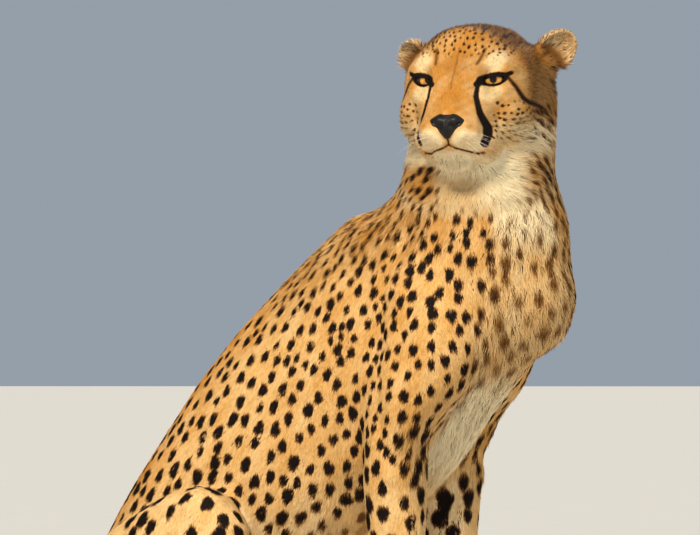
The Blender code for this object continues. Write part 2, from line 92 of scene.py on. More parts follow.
def ripple(points, wavelength, seed):
    # Smooth noise between about -1 and 1, from a few crossing waves.
    rng = np.random.default_rng(seed)
    total = np.zeros(len(points))
    for _ in range(6):
        way = rng.normal(size=3)
        way *= rng.uniform(0.7, 1.4) * 2 * math.pi / (wavelength * np.linalg.norm(way))
        total += np.sin(points @ way + rng.uniform(0, 2 * math.pi))
    return total / 3.2


def unit(vectors):
    vectors = np.asarray(vectors, float)
    return vectors / np.maximum(np.linalg.norm(vectors, axis=-1, keepdims=True), 1e-9)


def nearLine(flat, line, width):
    # 1 on a polyline, falling off over this width on both sides.
    return bump(curveDistance(flat, line)[0], 0, width)


def curveDistance(flat, line):
    # Distance of 2-D points from a polyline, and how far along it they are, 0 to 1.
    line = np.array(line, float)
    best = np.full(len(flat), 1e9)
    along = np.zeros(len(flat))
    for i in range(len(line) - 1):
        a, b = line[i], line[i + 1]
        t = np.clip((flat - a) @ (b - a) / ((b - a) @ (b - a)), 0, 1)
        distance = np.linalg.norm(flat - a - t[:, None] * (b - a), axis=1)
        nearer = distance < best
        best[nearer] = distance[nearer]
        along[nearer] = (i + t[nearer]) / (len(line) - 1)
    return best, along


# Mesh helpers.
def newObject(name, data):
    made = bpy.data.objects.new(name, data)
    bpy.context.scene.collection.objects.link(made)
    return made


def readVectors(items, field):
    values = np.empty(len(items) * 3, np.float32)
    items.foreach_get(field, values)
    return values.reshape(-1, 3).astype(float)


def fromBmesh(name, bm):
    mesh = bpy.data.meshes.new(name)
    bm.to_mesh(mesh)
    bm.free()
    return newObject(name, mesh)


def dress(obj, material):
    obj.data.shade_smooth()
    obj.data.materials.append(material)


def bake(obj):
    bpy.context.view_layer.update()
    graph = bpy.context.evaluated_depsgraph_get()
    mesh = bpy.data.meshes.new_from_object(obj.evaluated_get(graph))
    obj.modifiers.clear()
    obj.data = mesh
    return obj


def modify(obj, kind, **settings):
    made = obj.modifiers.new(kind.lower(), kind)
    for name, value in settings.items():
        setattr(made, name, value)
    return bake(obj)


def places(mesh):
    return readVectors(mesh.vertices, "co")


def normals(mesh):
    return readVectors(mesh.vertex_normals, "vector")


def pushOut(mesh, amount):
    # Moves each point along its normal by its own number of millimetres.
    movePlaces(mesh, places(mesh) + normals(mesh) * (amount * mm)[:, None])


def splitEdges(obj, chosen, **settings):
    bm = bmesh.new()
    bm.from_mesh(obj.data)
    edges = [edge for edge in bm.edges if chosen(edge)]
    bmesh.ops.subdivide_edges(bm, edges=edges, cuts=1, **settings)
    bmesh.ops.triangulate(bm, faces=[face for face in bm.faces if len(face.verts) > 3])
    bm.to_mesh(obj.data)
    bm.free()


def movePlaces(mesh, points):
    mesh.vertices.foreach_set("co", np.asarray(points, np.float32).ravel())
    mesh.update()


def setWeights(obj, name, values, levels):
    group = obj.vertex_groups.new(name=name)
    step = np.round(np.clip(values, 0, 1) * levels).astype(int)
    for level in range(levels + 1):
        chosen = np.nonzero(step == level)[0]
        if len(chosen):
            group.add(chosen.tolist(), level / levels, "REPLACE")
    return name


def storeVectors(mesh, name, values):
    made = mesh.attributes.new(name, "FLOAT_VECTOR", "POINT")
    made.data.foreach_set("vector", np.asarray(values, np.float32).ravel())


# Shader maths: an expression on sockets adds its Math nodes.
class Wire:
    def __init__(self, tree, socket=None):
        self.tree, self.socket = tree, socket

    def node(self, kind, settings, inputs, output=0):
        made = self.tree.nodes.new(kind)
        stops = settings.pop("stops", None)
        for name, value in settings.items():
            setattr(made, name, value)
        if stops:
            elements = made.color_ramp.elements
            while len(elements) < len(stops):
                elements.new(0.5)
            for element, (place, colour) in zip(elements, stops):
                element.position, element.color = place, (*colour, 1)
        for name, value in inputs.items():
            if isinstance(value, Wire):
                self.tree.links.new(value.socket, made.inputs[name])
            else:
                made.inputs[name].default_value = value
        return Wire(self.tree, made.outputs[output])

    def maths(self, operation, first, second):
        return self.node("ShaderNodeMath", {"operation": operation}, {0: first, 1: second})

    def __add__(self, other):
        return self.maths("ADD", self, other)

    __radd__ = __add__

    def __sub__(self, other):
        return self.maths("SUBTRACT", self, other)

    def __rsub__(self, other):
        return self.maths("SUBTRACT", other, self)

    def __mul__(self, other):
        return self.maths("MULTIPLY", self, other)

    __rmul__ = __mul__

    def limited(self, low, high):
        # 0 up to low, 1 from high, and smooth between.
        inputs = {"Value": self, "From Min": low, "From Max": high}
        return self.node("ShaderNodeMapRange", {"interpolation_type": "SMOOTHSTEP"}, inputs)

    def mix(self, first, second):
        # From colour first to colour second as this value goes from 0 to 1.
        inputs = {0: self, 6: colourOf(first), 7: colourOf(second)}
        return self.node("ShaderNodeMix", {"data_type": "RGBA"}, inputs, output=2)

    def parts(self, name):
        # The three numbers that are stored on the mesh under this name.
        stored = self.node("ShaderNodeAttribute", {"attribute_name": name}, {}, output=1)
        split = self.node("ShaderNodeSeparateXYZ", {}, {0: stored})
        return [Wire(self.tree, socket) for socket in split.socket.node.outputs]

    def objectPlace(self):
        return self.node("ShaderNodeTexCoord", {}, {}, output=3)

    def noise(self, scale, detail=3.0, where=None):
        inputs = {"Vector": where or self.objectPlace(), "Scale": scale, "Detail": detail}
        return self.node("ShaderNodeTexNoise", {"noise_dimensions": "3D"}, inputs)

    def relief(self, strength, distance):
        # A normal from this height; the distance is in metres.
        inputs = {"Strength": strength, "Distance": distance, "Height": self}
        return self.node("ShaderNodeBump", {}, inputs)


def colourOf(value):
    return value if isinstance(value, Wire) else (*value, 1.0)


def newMaterial(name, steady, changing):
    # steady: fixed values of the shader's sockets; changing: a function from a Wire to links.
    material = bpy.data.materials.new(name)
    material.use_nodes = True
    tree = material.node_tree
    shader = tree.nodes["Principled BSDF"]
    for socket, value in steady.items():
        shader.inputs[socket].default_value = value
    for socket, wire in changing(Wire(tree)).items():
        tree.links.new(wire.socket, shader.inputs[socket])
    return material


# The skin: the flesh nodes swollen shut, melted into one surface, smoothed and sculpted.
skinSettings = {
    "swell": 0.7 * mm,
    "noseSwell": -1.5 * mm,
    "grain": 1.8 * mm,
    "smoothTurns": 330,
    "triangles": 124000,
    "longestEdge": 8.4 * mm,
    "fineEyes": 25 * mm,
    "lidHeight": 1.3,
    "gazeOut": 0.28,
    "eyeHalfLength": 12.0,
    "upperLid": 2.8,
    "lowerLid": 5.2,
    "lidTilt": math.radians(11),
    "lidDrop": 0.5,
    "cutterFront": 32,
    "cutterDepth": 26,
    "toeLength": 24,
    "toeDepth": 4.6,
    "toeWidth": 2.6,
}
lidReach = eyeRadius / mm + skinSettings["lidHeight"]
fleshNodes = [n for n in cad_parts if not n.startswith("claw")]


def meltFlesh():
    whole = bmesh.new()
    for name in fleshNodes:
        part = bmesh.new()
        part.from_mesh(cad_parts[name].data)
        bmesh.ops.remove_doubles(part, verts=part.verts, dist=0.001 * mm)
        part.normal_update()
        swell = skinSettings["noseSwell" if name == "nose" else "swell"]
        for vert in part.verts:
            vert.co += vert.normal * swell
        mesh = bpy.data.meshes.new(name)
        part.to_mesh(mesh)
        part.free()
        whole.from_mesh(mesh)
    skin = fromBmesh("skin", whole)
    return modify(skin, "REMESH", mode="VOXEL", voxel_size=skinSettings["grain"])


def headness(points):
    # 1 on the head and 0 on the neck and below, across a slanting border behind the jaw.
    at = toHead(points)
    slant = at[:, 1] - 100 - (at[:, 2] + 28) * 0.55
    near = fall(np.linalg.norm(at - [0, 30, -10], axis=1), 125, 150)
    return fall(slant, -14, 14) * near


def earness(points):
    at = toHead(points)
    out = np.abs(at[:, 0])
    return ramp(out + 0.75 * at[:, 2], 92, 104) * ramp(at[:, 1], 60, 75) * ramp(out, 60, 68)


def regions(points):
    # How far each point belongs to the head, ears, tail, lower legs and paws, 0 to 1.
    side = np.abs(points[:, 0] - middleX)
    height, back = points[:, 2], points[:, 1]
    tail = ramp(back, 0.255, 0.285) * fall(height, 0.075, 0.10)
    tail = np.maximum(tail, ramp(points[:, 0], 0.121, 0.127) * fall(height, 0.05, 0.06))
    hind = ramp(side, 0.055, 0.075) * fall(height, 0.36, 0.44) * ramp(back, -0.115, -0.1)
    fore = fall(height, 0.36, 0.46) * fall(back, -0.125, -0.105)
    return {
        "head": headness(points),
        "ear": earness(points),
        "tail": tail,
        "hind": hind * (1 - tail),
        "fore": fore,
        "paw": fall(height, 0.05, 0.09) * np.maximum(fore, hind * fall(back, 0.1, 0.15)),
    }


def smoothSkin(skin):
    points = places(skin.data)
    near = regions(points)
    height = points[:, 2]
    # How firmly each part keeps its shape while the rest is smoothed.
    firmness = [
        0.68 * near["hind"],
        0.96 * near["hind"] * fall(height, 0.08, 0.2),
        0.93 * near["fore"],
        0.95 * near["tail"],
        0.985 * near["paw"],
        0.99 * near["ear"],
        near["head"] * (0.6 + 0.37 * fall(toHead(points)[:, 1], 5, 45)),
    ]
    weight = (1 - np.max(firmness, axis=0)) * ramp(height, -0.02, 0.05)
    group = setWeights(skin, "smooth", weight, levels=100)
    turns = skinSettings["smoothTurns"]
    modify(skin, "SMOOTH", factor=0.6, iterations=turns, vertex_group=group)


def insetSkin(skin):
    # The skin lies inside the outline by the depth of the coat over it.
    points = places(skin.data)
    near = regions(points)
    depth = np.full(len(points), 1.4)
    depth += 2.2 * ramp(points[:, 2], 0.56, 0.64)
    for name, value in (("fore", 1.6), ("hind", 2.0), ("tail", 3.2), ("paw", 0.8)):
        depth += (value - depth) * near[name]
    front = fall(toHead(points)[:, 1], 0, 60)
    depth += (3.0 - 1.8 * front - depth) * near["head"]
    depth += (1.1 - depth) * near["ear"]
    points -= normals(skin.data) * (depth * mm)[:, None]
    points[:, 2] = np.maximum(points[:, 2], aboveFloor)
    movePlaces(skin.data, points)


def settleEars(skin):
    # The ears draw in towards their roots, the right one more, as it is turned back.
    points = places(skin.data)
    at = toHead(points)
    share = earness(points)
    for sign, scale, lower in ((1, 0.93, 3.0), (-1, 0.84, 5.0)):
        hub = np.array([sign * 66, 88, 12])
        chosen = share * (np.sign(at[:, 0]) == sign)
        target = hub + (at - hub) * scale - [0, 0, lower]
        at = at + (target - at) * chosen[:, None]
    movePlaces(skin.data, fromHead(at))


def thinSkin(skin):
    points = places(skin.data)
    front = headness(points) * fall(toHead(points)[:, 1], 10, 30)
    kept = (front > 0.5) | (earness(points) > 0.5)
    group = setWeights(skin, "thin", np.where(kept, 0.0, 1.0), levels=1)
    count = sum(len(face.vertices) - 2 for face in skin.data.polygons)
    ratio = skinSettings["triangles"] / count
    modify(skin, "DECIMATE", ratio=ratio, vertex_group=group, use_collapse_triangulate=True)
    # Long edges are split, so that every spot finds points to be painted on.
    splitEdges(skin, lambda edge: edge.calc_length() > skinSettings["longestEdge"])


def eyeFrame(sign):
    # The eye's centre and gaze in the head's frame.
    centre = np.array([sign * eyeGap / 2 / mm, -4.0, 0.0])
    gaze = unit(np.array([sign * skinSettings["gazeOut"], -1.0, 0.0]))
    return centre, gaze


def refineEyes(skin):
    centres = [Vector(fromHead(eyeFrame(sign)[0])) for sign in (1, -1)]

    def isNear(vert):
        return min((vert.co - centre).length for centre in centres) < skinSettings["fineEyes"]

    splitEdges(skin, lambda edge: all(map(isNear, edge.verts)), use_grid_fill=True)


faceForms = {
    "brow": 3.2,
    "tear": -1.3,
    "eyeHollow": -2.5,
    "bridge": 1.6,
    "muzzle": 2.4,
    "mouth": -3.0,
    "lipFold": -1.6,
    "chin": 5.0,
    "crown": 4.5,
    "throat": 10,
}


shoulderCrease = [(-203, 395), (-196, 450), (-191, 530), (-200, 600), (-222, 650)]
tearLine = [(26, -7), (26.5, -20), (31.5, -38), (38, -53), (39, -63), (35.5, -71)]
mouthLine = [(0, -72.5), (8, -76), (17, -78.5), (26, -81), (33, -80)]
browLine = [(14, 8), (24, 12), (38, 15), (54, 12)]


def sculptFace(skin):
    points = places(skin.data)
    at = toHead(points)
    out, y, z = np.abs(at[:, 0]), at[:, 1], at[:, 2]
    flat = np.column_stack([out, z])
    grow = faceForms["brow"] * nearLine(flat, browLine, 6.5)
    grow += faceForms["tear"] * nearLine(flat, tearLine, 3.5)
    grow += faceForms["eyeHollow"] * bump(out, 22, 6) * bump(z, -5, 8)
    grow += faceForms["bridge"] * bump(out, 0, 9) * ramp(z, -42, -25) * fall(z, -5, 12)
    grow += faceForms["muzzle"] * bump(out, 17, 9) * bump(z, -67, 9)
    grow += faceForms["mouth"] * nearLine(flat, mouthLine, 1.8)
    grow += faceForms["lipFold"] * bump(out, 0, 1.6) * bump(z, -69, 5)
    grow += faceForms["chin"] * bump(out, 0, 19) * bump(z, -89, 7)
    front = headness(points) * fall(y, 12, 32)
    points = points + normals(skin.data) * (grow * front * mm)[:, None]
    crown = headness(points) * (1 - earness(points)) * ramp(z, 28, 52) * fall(out, 34, 62)
    points[:, 2] += faceForms["crown"] * crown * mm
    hollow = bump(out, 0, 32) * bump(z, -110, 11) * fall(y, -10, 10)
    points += headBack * (faceForms["throat"] * hollow * mm)[:, None]
    at = toHead(points)
    # The lids hug the eyeballs.
    for sign in (1, -1):
        centre, gaze = eyeFrame(sign)
        arm = at - centre
        reach = np.linalg.norm(arm, axis=1)
        ahead = arm @ gaze
        aside = np.sqrt(np.maximum(reach**2 - ahead**2, 0))
        hug = fall(aside, 10.5, 21) * (ahead > 0) * (reach < 40)
        at = at + arm / reach[:, None] * ((lidReach - reach) * hug)[:, None]
    movePlaces(skin.data, fromHead(at))


def sculptBody(skin):
    # A shallow crease behind each shoulder, and grooves between the toes.
    points = places(skin.data)
    paw = regions(points)["paw"]
    aside = ramp(np.abs(points[:, 0] - middleX), 0.05, 0.075)
    crease, _ = curveDistance(points[:, 1:] / mm, shoulderCrease)
    grow = -2.4 * bump(crease, 0, 7) * aside
    grow += 1.8 * bump(crease - 20, 0, 10) * aside * (points[:, 1] < -0.2)
    for limb in ("front", "hind"):
        for name in sides:
            roots = [boxAt(f"claw_{limb}_{name}_{i}") for i in range(1, 5)]
            for a, b in zip(roots, roots[1:]):
                start = (a + b) / 2 / mm - [0, 3, 0]
                heading = unit(np.cross((b - a) * [1, 1, 0], [0, 0, 1.0]))
                heading = heading * math.copysign(1, heading[1])
                line = [start[:2], start[:2] + heading[:2] * skinSettings["toeLength"]]
                reach, along = curveDistance(points[:, :2] / mm, line)
                groove = skinSettings["toeDepth"] * bump(reach, 0, skinSettings["toeWidth"])
                grow -= groove * (1 - 0.7 * along) * paw * (reach < 9)
    pushOut(skin.data, grow)


def almond(steps):
    # The eye opening's outline about its own centre: along, up.
    long, top, low = (skinSettings[k] for k in ("eyeHalfLength", "upperLid", "lowerLid"))
    turn = skinSettings["lidTilt"]
    outline = []
    for i in range(2 * steps):
        angle = math.pi * i / steps
        x, y = math.cos(angle), math.sin(angle)
        y = math.copysign(abs(y) ** (0.9 if y > 0 else 1.25), y) * (top if y > 0 else low)
        x *= long
        up = x * math.sin(turn) + y * math.cos(turn)
        outline.append((x * math.cos(turn) - y * math.sin(turn), up))
    return outline


def lidRim(sign, ahead, steps):
    # The eye opening's outline in the head's frame, this far ahead of the eye's centre.
    centre, gaze = eyeFrame(sign)
    across = np.cross(gaze, [0, 0, 1.0])
    across = across * math.copysign(1, across[0] * sign)
    drop = skinSettings["lidDrop"]
    return [centre + gaze * ahead + across * x + [0, 0, z - drop] for x, z in almond(steps)]


def openEyes(skin):
    for sign in (1, -1):
        bm = bmesh.new()
        rim = lidRim(sign, skinSettings["cutterFront"], 14)
        face = bm.faces.new([bm.verts.new(fromHead(place)) for place in rim])
        gaze = fromHead(eyeFrame(sign)[1]) - fromHead([0, 0, 0])
        made = bmesh.ops.extrude_face_region(bm, geom=[face], use_keep_orig=True)
        moved = [v for v in made["geom"] if isinstance(v, bmesh.types.BMVert)]
        bmesh.ops.translate(bm, verts=moved, vec=Vector(gaze) * -skinSettings["cutterDepth"])
        bmesh.ops.recalc_face_normals(bm, faces=bm.faces)
        cutter = fromBmesh("eyeCutter", bm)
        modify(skin, "BOOLEAN", operation="DIFFERENCE", solver="MANIFOLD", object=cutter)
        bpy.data.objects.remove(cutter)


skin = meltFlesh()
print("Skin melted:", len(skin.data.vertices), "points")
smoothSkin(skin)
insetSkin(skin)
settleEars(skin)
thinSkin(skin)
refineEyes(skin)
sculptFace(skin)
sculptBody(skin)
openEyes(skin)
print("Skin smoothed and sculpted:", len(skin.data.polygons), "faces")
skin.data.shade_smooth()


def unwrap(obj):
    obj.data.uv_layers.new(name="OFBake")
    bpy.context.view_layer.objects.active = obj
    obj.select_set(True)
    bpy.ops.object.mode_set(mode="EDIT")
    bpy.ops.mesh.select_all(action="SELECT")
    bpy.ops.uv.smart_project(angle_limit=math.radians(66), island_margin=0.002)
    bpy.ops.object.mode_set(mode="OBJECT")
    obj.select_set(False)


unwrap(skin)
print("Skin unwrapped")


# The lie, length and look of the coat at any place on the skin.
tailStops = {
    "tail_base": [(0.0, 0.1), (0.31, 0.44), (0.62, 0.77)],
    "tail_middle": [(0.0, 0.9), (0.55, 0.61), (0.77, 0.2)],
    "tail_tip": [(0.66, 0.77), (0.42, 0.37), (0.23, 0.0)],
}
tailLine = [boxAt(node, *stop)[:2] for node, stops in tailStops.items() for stop in stops]
backSlope = unit([0, 0.66, -0.75])
backNormal = unit([0, 0.75, 0.66])

# What a zone sets: the lie, length, lift, width and density of its hair, the gap, size, strength
# and softness of its spots, and the shares of pale, ochre, flecked and dark hair; under the chin the
# dark share and the duller colour are partly painted shade.
coatZones = {
    "flank": dict(
        way=[0, 0.45, -0.89], length=6.4, lift=0.14, width=2.1, density=0.58, gap=18.0,
        strength=1.0, soft=0.07, pale=0.18, ochre=0.22, fleck=0.0, dark=0.0,
    ),
    "back": dict(way=backSlope, pale=0.05, ochre=0.85),
    "belly": dict(length=14.0, lift=0.24, width=1.6, soft=0.2, pale=0.8, ochre=0.0),
    "rump": dict(way=[0, 0.3, -0.95]),
    "shoulder": dict(way=[0, 0.25, -0.97], pale=0.12, ochre=0.4),
    "shoulderFold": dict(gap=12.5, size=4.0),
    "withers": dict(length=12.0, lift=0.34, width=1.6, gap=13.5, size=3.8),
    "chest": dict(way=[0, -0.1, -1], length=8.0, lift=0.2, gap=17.5, size=5.3, pale=0.15),
    "ruff": dict(
        length=17.0, lift=0.28, width=1.5, gap=20.0, size=6.0, strength=0.58, soft=0.4, pale=0.27,
        ochre=0.3, fleck=0.1,
    ),
    "betweenLegs": dict(length=20.0, lift=0.32, strength=0.3, soft=0.4, pale=0.95, ochre=0.0),
    "neck": dict(
        way=[0, 0.1, -1], length=8.0, lift=0.2, width=1.5, gap=13.5, size=3.9, strength=1.0,
        soft=0.1, pale=0.1, ochre=0.6,
    ),
    "farNeck": dict(length=13.0, size=4.8, strength=0.75, soft=0.35, pale=0.15, fleck=0.2),
    "nape": dict(length=14.0, lift=0.36, width=1.6, gap=13.0, size=3.7, ochre=0.75),
    "throat": dict(
        length=18.0, lift=0.30, gap=19.0, size=4.2, strength=0.55, soft=0.5, pale=0.85, ochre=0.0
    ),
    "thigh": dict(way=[0, 0.15, -1], length=7.0, gap=24.5, size=7.7, pale=0.25, ochre=0.15),
    "shank": dict(way=[0, 0.35, -0.9], length=7.5, width=1.2, density=0.62, gap=17.0, size=5.2),
    "foot": dict(way=[0, -1, -0.12], length=6.0, width=1.0, density=0.85, gap=12.0, size=2.6),
    "foreleg": dict(
        way=[0, 0.06, -1], length=6.0, lift=0.15, width=1.4, density=0.62, gap=20.5, size=6.5,
        pale=0.22, ochre=0.2,
    ),
    "lowForeleg": dict(gap=14.5, size=3.6),
    "frontPaw": dict(way=[0, -0.85, -0.5], length=4.5, width=0.9, density=0.95, gap=10.0, size=2.1),
    "innerHind": dict(strength=0.6, pale=0.85, ochre=0.0),
    "innerFore": dict(strength=0.9, pale=0.7, ochre=0.0),
    "innerArm": dict(gap=23.0, size=8.6, strength=1.0),
    "tail": dict(
        length=11.0, lift=0.20, width=1.4, density=0.5, gap=17.0, size=5.4, pale=0.25, ochre=0.35
    ),
    "underTail": dict(strength=0.4, pale=0.9, ochre=0.0),
    "tailEnd": dict(length=13.0, pale=1.0, ochre=0.0),
    "head": dict(gap=6.8, size=1.5, strength=0.95, soft=0.3, pale=0.12, ochre=0.68, fleck=0.04),
    "temple": dict(length=9.0, lift=0.26, pale=0.0, ochre=1.0, fleck=0.45),
    "crown": dict(gap=8.5, size=2.6, pale=0.0, ochre=0.9, fleck=0.45),
    "headBack": dict(length=13.0, gap=10.5, size=2.9),
    "cheek": dict(
        length=12.0, lift=0.24, width=1.2, density=0.85, pale=0.15, ochre=0.5, fleck=0.2
    ),
    "jowl": dict(length=14.0, lift=0.28, pale=0.72, ochre=0.0, fleck=0.05),
    "underJaw": dict(length=14.0, lift=0.26, pale=0.95, ochre=0.0),
    "turnedNeck": dict(length=9.0, gap=13.0, size=3.6, pale=0.05, ochre=0.7),
    # Under the chin: downward hair, and a duller, darker colour that is partly the grey-brown fur there
    # and partly painted shade from the chin's shadow.
    "underChinFurAndShade": dict(way=[0, 0.1, -1], length=7.0, pale=0.35, ochre=0.3, dark=0.15),
    "behindJaw": dict(length=12.0, gap=13.5, size=4.4, soft=0.3, pale=0.12, ochre=0.6, fleck=0.2),
    "muzzle": dict(length=3.0, lift=0.14, width=0.6, density=2.6, strength=0.0),
    "chin": dict(length=11.0, lift=0.5, width=0.8, pale=1.0, ochre=0.0),
    "ear": dict(
        length=3.2, lift=0.16, width=0.8, density=1.7, strength=0.0, pale=0.25, ochre=0.3
    ),
    "earFront": dict(lift=0.22, pale=0.4, ochre=0.45),
}


class Coat:
    # Arrays for the coat at some places; over() blends values in where a mask is 1.
    def __init__(self, points, outward):
        self.points, self.outward = points, outward
        self.near, self.at = regions(points), toHead(points)
        self.values = {}

    def over(self, mask, zone=None, **values):
        for name, value in {**coatZones.get(zone, {}), **values}.items():
            value = np.asarray(value, float)
            if name not in self.values:
                shape = (len(self.points), 3) if name == "way" else (len(self.points),)
                self.values[name] = np.zeros(shape) + value
                continue
            old = self.values[name]
            share = mask[:, None] if name == "way" else mask
            self.values[name] = old + (value - old) * share

    def __getitem__(self, name):
        return self.values[name]


def coatAt(points, outward):
    coat = Coat(points, outward)
    for lay in (layBody, layNeck, layLegs, layTail, layHead, layEars):
        lay(coat)
    return coat


def layBody(coat):
    outward, back, height = coat.outward, coat.points[:, 1], coat.points[:, 2]
    side = coat.points[:, 0] - middleX
    topped = outward @ backNormal
    coat.over(np.ones(len(side)), "flank", size=5.7 - 1.0 * ramp(height, 0.36, 0.55))
    coat.over(ramp(topped, 0.3, 0.9), "back")
    belly = ramp(-topped, 0.2, 0.8) * fall(height, 0.42, 0.5)
    coat.over(belly, "belly")
    coat.over(belly * fall(np.abs(side), 0.03, 0.07), strength=0.3)
    coat.over(ramp(back, 0.14, 0.26) * fall(height, 0.2, 0.4), "rump")
    shoulder = fall(back, -0.16, -0.02) * fall(height, 0.62, 0.7)
    low = fall(height, 0.38, 0.50)
    coat.over(shoulder, "shoulder", gap=15.8 + 3.7 * low, size=4.7 + 1.3 * low)
    fold = nearLine(coat.points[:, 1:] / mm, shoulderCrease, 18)
    coat.over(fold * ramp(np.abs(side), 0.05, 0.07), "shoulderFold")
    withers = ramp(topped, 0.2, 0.8) * bump(back, -0.09, 0.08) * ramp(height, 0.5, 0.6)
    coat.over(withers, "withers")
    chest = fall(back, -0.29, -0.22) * ramp(height, 0.36, 0.42)
    coat.over(chest, "chest")
    coat.over(chest * ramp(side, -0.088, -0.058) * fall(side, 0.0, 0.025), "ruff")
    under = ramp(-outward[:, 2], 0.1, 0.6) * ramp(height, 0.33, 0.37) * fall(height, 0.46, 0.5)
    between = fall(back, -0.10, -0.05) * fall(np.abs(side), 0.035, 0.06)
    coat.over(under * between, "betweenLegs")


def layNeck(coat):
    height = coat.points[:, 2]
    neck = ramp(height, 0.58, 0.66) * fall(coat.points[:, 1], -0.15, -0.10)
    coat.over(neck, "neck")
    coat.over(neck * ramp(coat.outward @ unit([0.5, -0.866, 0]), 0.62, 0.85), "farNeck")
    coat.over(neck * ramp(coat.outward @ unit([-0.3, 1.0, 0.1]), 0.1, 0.6), "nape")
    throat = ramp(coat.outward @ unit([-0.56, -0.83, 0]), 0.84, 0.95)
    coat.over(neck * (throat * ramp(height, 0.60, 0.65)), "throat")


def layLegs(coat):
    back, height = coat.points[:, 1], coat.points[:, 2]
    side = coat.points[:, 0] - middleX
    fore, hind = coat.near["fore"], coat.near["hind"]
    coat.over(hind * ramp(np.abs(side), 0.1, 0.114), "thigh")
    shank = hind * fall(height, 0.16, 0.26)
    coat.over(shank, "shank")
    coat.over(hind * fall(height, 0.045, 0.075) * fall(back, 0.11, 0.15), "foot")
    foreleg = fore * fall(height, 0.33, 0.41)
    coat.over(foreleg, "foreleg")
    coat.over(foreleg * fall(height, 0.12, 0.22), "lowForeleg")
    coat.over(coat.near["paw"] * fore, "frontPaw")
    inner = ramp(-np.sign(side) * coat.outward[:, 0], 0.5, 0.95)
    coat.over(hind * inner, "innerHind")
    coat.over(fore * inner, "innerFore")
    coat.over(fore * inner * ramp(height, 0.26, 0.32), "innerArm")
    coat.over(np.maximum(foreleg, shank) * fall(height, 0.03, 0.12), pale=0.6)


def layTail(coat):
    # Hair towards the tip, rings and a white end.
    tail = coat.near["tail"]
    tangent, along = tailWay(coat.points)
    coat.over(tail, "tail", way=tangent)
    coat.over(tail * ramp(-coat.outward[:, 2], 0.1, 0.7), "underTail")
    coat.over(tail * ramp(along, 0.6, 0.75), strength=0.0)
    end = np.maximum((coat.outward * tangent).sum(1), 0)
    coat.over(tail * ramp(along, 0.9, 0.96), "tailEnd", lift=0.24 + 2.2 * end**2)
    rings = sum(bump(along, place, 0.022) for place in (0.66, 0.765, 0.87))
    coat.over(tail, dark=np.clip(rings * 1.3, 0, 0.95))


def layHead(coat):
    # Hair away from the nose, down the cheeks and back over the crown.
    head, at = coat.near["head"], coat.at
    u, y, z = np.abs(at[:, 0]), at[:, 1], at[:, 2]
    cheek = ramp(y, 15, 60) * fall(z, 0, 35) * ramp(u, 20, 45)
    fromNose = unit(unit(at - [0, -74, -46]) + cheek[:, None] * [0, 0.1, -0.9])
    front = fall(y, 5, 60)
    crown = ramp(z, 18, 45) * ramp(y, -5, 35)
    coat.over(
        head,
        "head",
        way=fromNose @ headAxes,
        length=6.5 - 2.2 * front + 6.0 * crown,
        lift=0.18 + 0.30 * crown,
        width=0.95 - 0.2 * front,
        density=1.0 + 0.9 * front,
    )
    temple = ramp(u, 46, 60) * ramp(y, 5, 35) * ramp(z, -52, -30)
    coat.over(head * temple, "temple")
    coat.over(head * crown, "crown")
    coat.over(head * ramp(y, 70, 110) * ramp(z, -10, 20), "headBack")
    outer = ramp(u, 50, 82)
    coat.over(head * cheek, "cheek", gap=8.0 + 4.0 * outer, size=1.4 + 1.9 * outer)
    jowl = ramp(u, 25, 45) * fall(z, -56, -34) * ramp(y, -30, 5)
    coat.over(head * jowl, "jowl")
    coat.over(head * (ramp(-z, 78, 92) * ramp(y, -50, -30)), "underJaw")
    # The head is turned, so the throat runs down its left and spotted neck shows on its right.
    turned = ramp(-at[:, 0], 16, 38) * ramp(-z, 84, 98)
    coat.over(head * turned, "turnedNeck")
    # Painted shade: below the chin the colour is made duller and darker, partly the grey-brown fur there
    # and partly the chin's shadow painted in.
    hollow = ramp(-z, 99, 105) * fall(at[:, 0], 6, 34) * (1 - turned)
    coat.over(head * hollow, "underChinFurAndShade")
    behind = ramp(at[:, 0], 58, 74) * ramp(-z, 66, 90)
    coat.over(head * behind, "behindJaw")
    coat.over(head * (fall(y, -45, -25) * fall(z, -30, -15)), "muzzle")
    chin = fall(np.hypot(u / 26, (z + 95) / 14), 0.6, 1.1) * fall(y, -20, 0)
    coat.over(head * chin, "chin")
    # Small dots only over the forehead and crown, and on the cheeks below the eyes.
    rows = ramp(z, 22, 30) * fall(y, 60, 80) * (1 - 0.8 * temple)
    dots = ramp(u, 38, 46) * fall(z, -28, -20) * ramp(z, -74, -62) * fall(y, 75, 100)
    nape = ramp(y, 70, 95) * ramp(z, -60, -20)
    coat.over(head, strength=np.clip(rows + dots + nape + turned + 0.8 * behind, 0, 1))
    brown = np.maximum(0.33 * temple, crown * (0.38 + 0.10 * ripple(coat.points, 0.012, 31)))
    brown = np.maximum(brown, 0.2 * (bump(u, 0, 26) * bump(z, 14, 26)))
    paintFace(coat, brown)


def layEars(coat):
    ear, at = coat.near["ear"], coat.at
    hub = np.tile([62.0, 84.0, 12.0], (len(at), 1))
    hub[:, 0] *= np.sign(at[:, 0])
    coat.over(ear, "ear", way=unit(at - hub) @ headAxes)
    reach = np.linalg.norm((at - hub)[:, [0, 2]], axis=1)
    facing = ramp(-(coat.outward @ headBack), 0.0, 0.5)
    coat.over(ear * facing, "earFront", length=10.0 - 7.2 * ramp(reach, 26, 46))
    darkBase = 0.6 * fall(reach, 27, 40) * facing
    darkBack = bump(reach, 26, 16) * (1 - facing)
    coat.over(ear, dark=0.9 * np.maximum(0.9 * darkBase, darkBack))


def tailWay(points):
    # The tail's heading at each point, and how far along it the point is, 0 to 1.
    _, along = curveDistance(points[:, :2], tailLine)
    line = np.array(tailLine)
    grid = np.linspace(0, 1, len(line))
    step = 0.06

    def onLine(t):
        t = np.clip(t, 0, 1)
        return np.column_stack([np.interp(t, grid, line[:, 0]), np.interp(t, grid, line[:, 1])])

    tangent = unit(onLine(along + step) - onLine(along - step))
    return np.column_stack([tangent, np.zeros(len(points))]), along


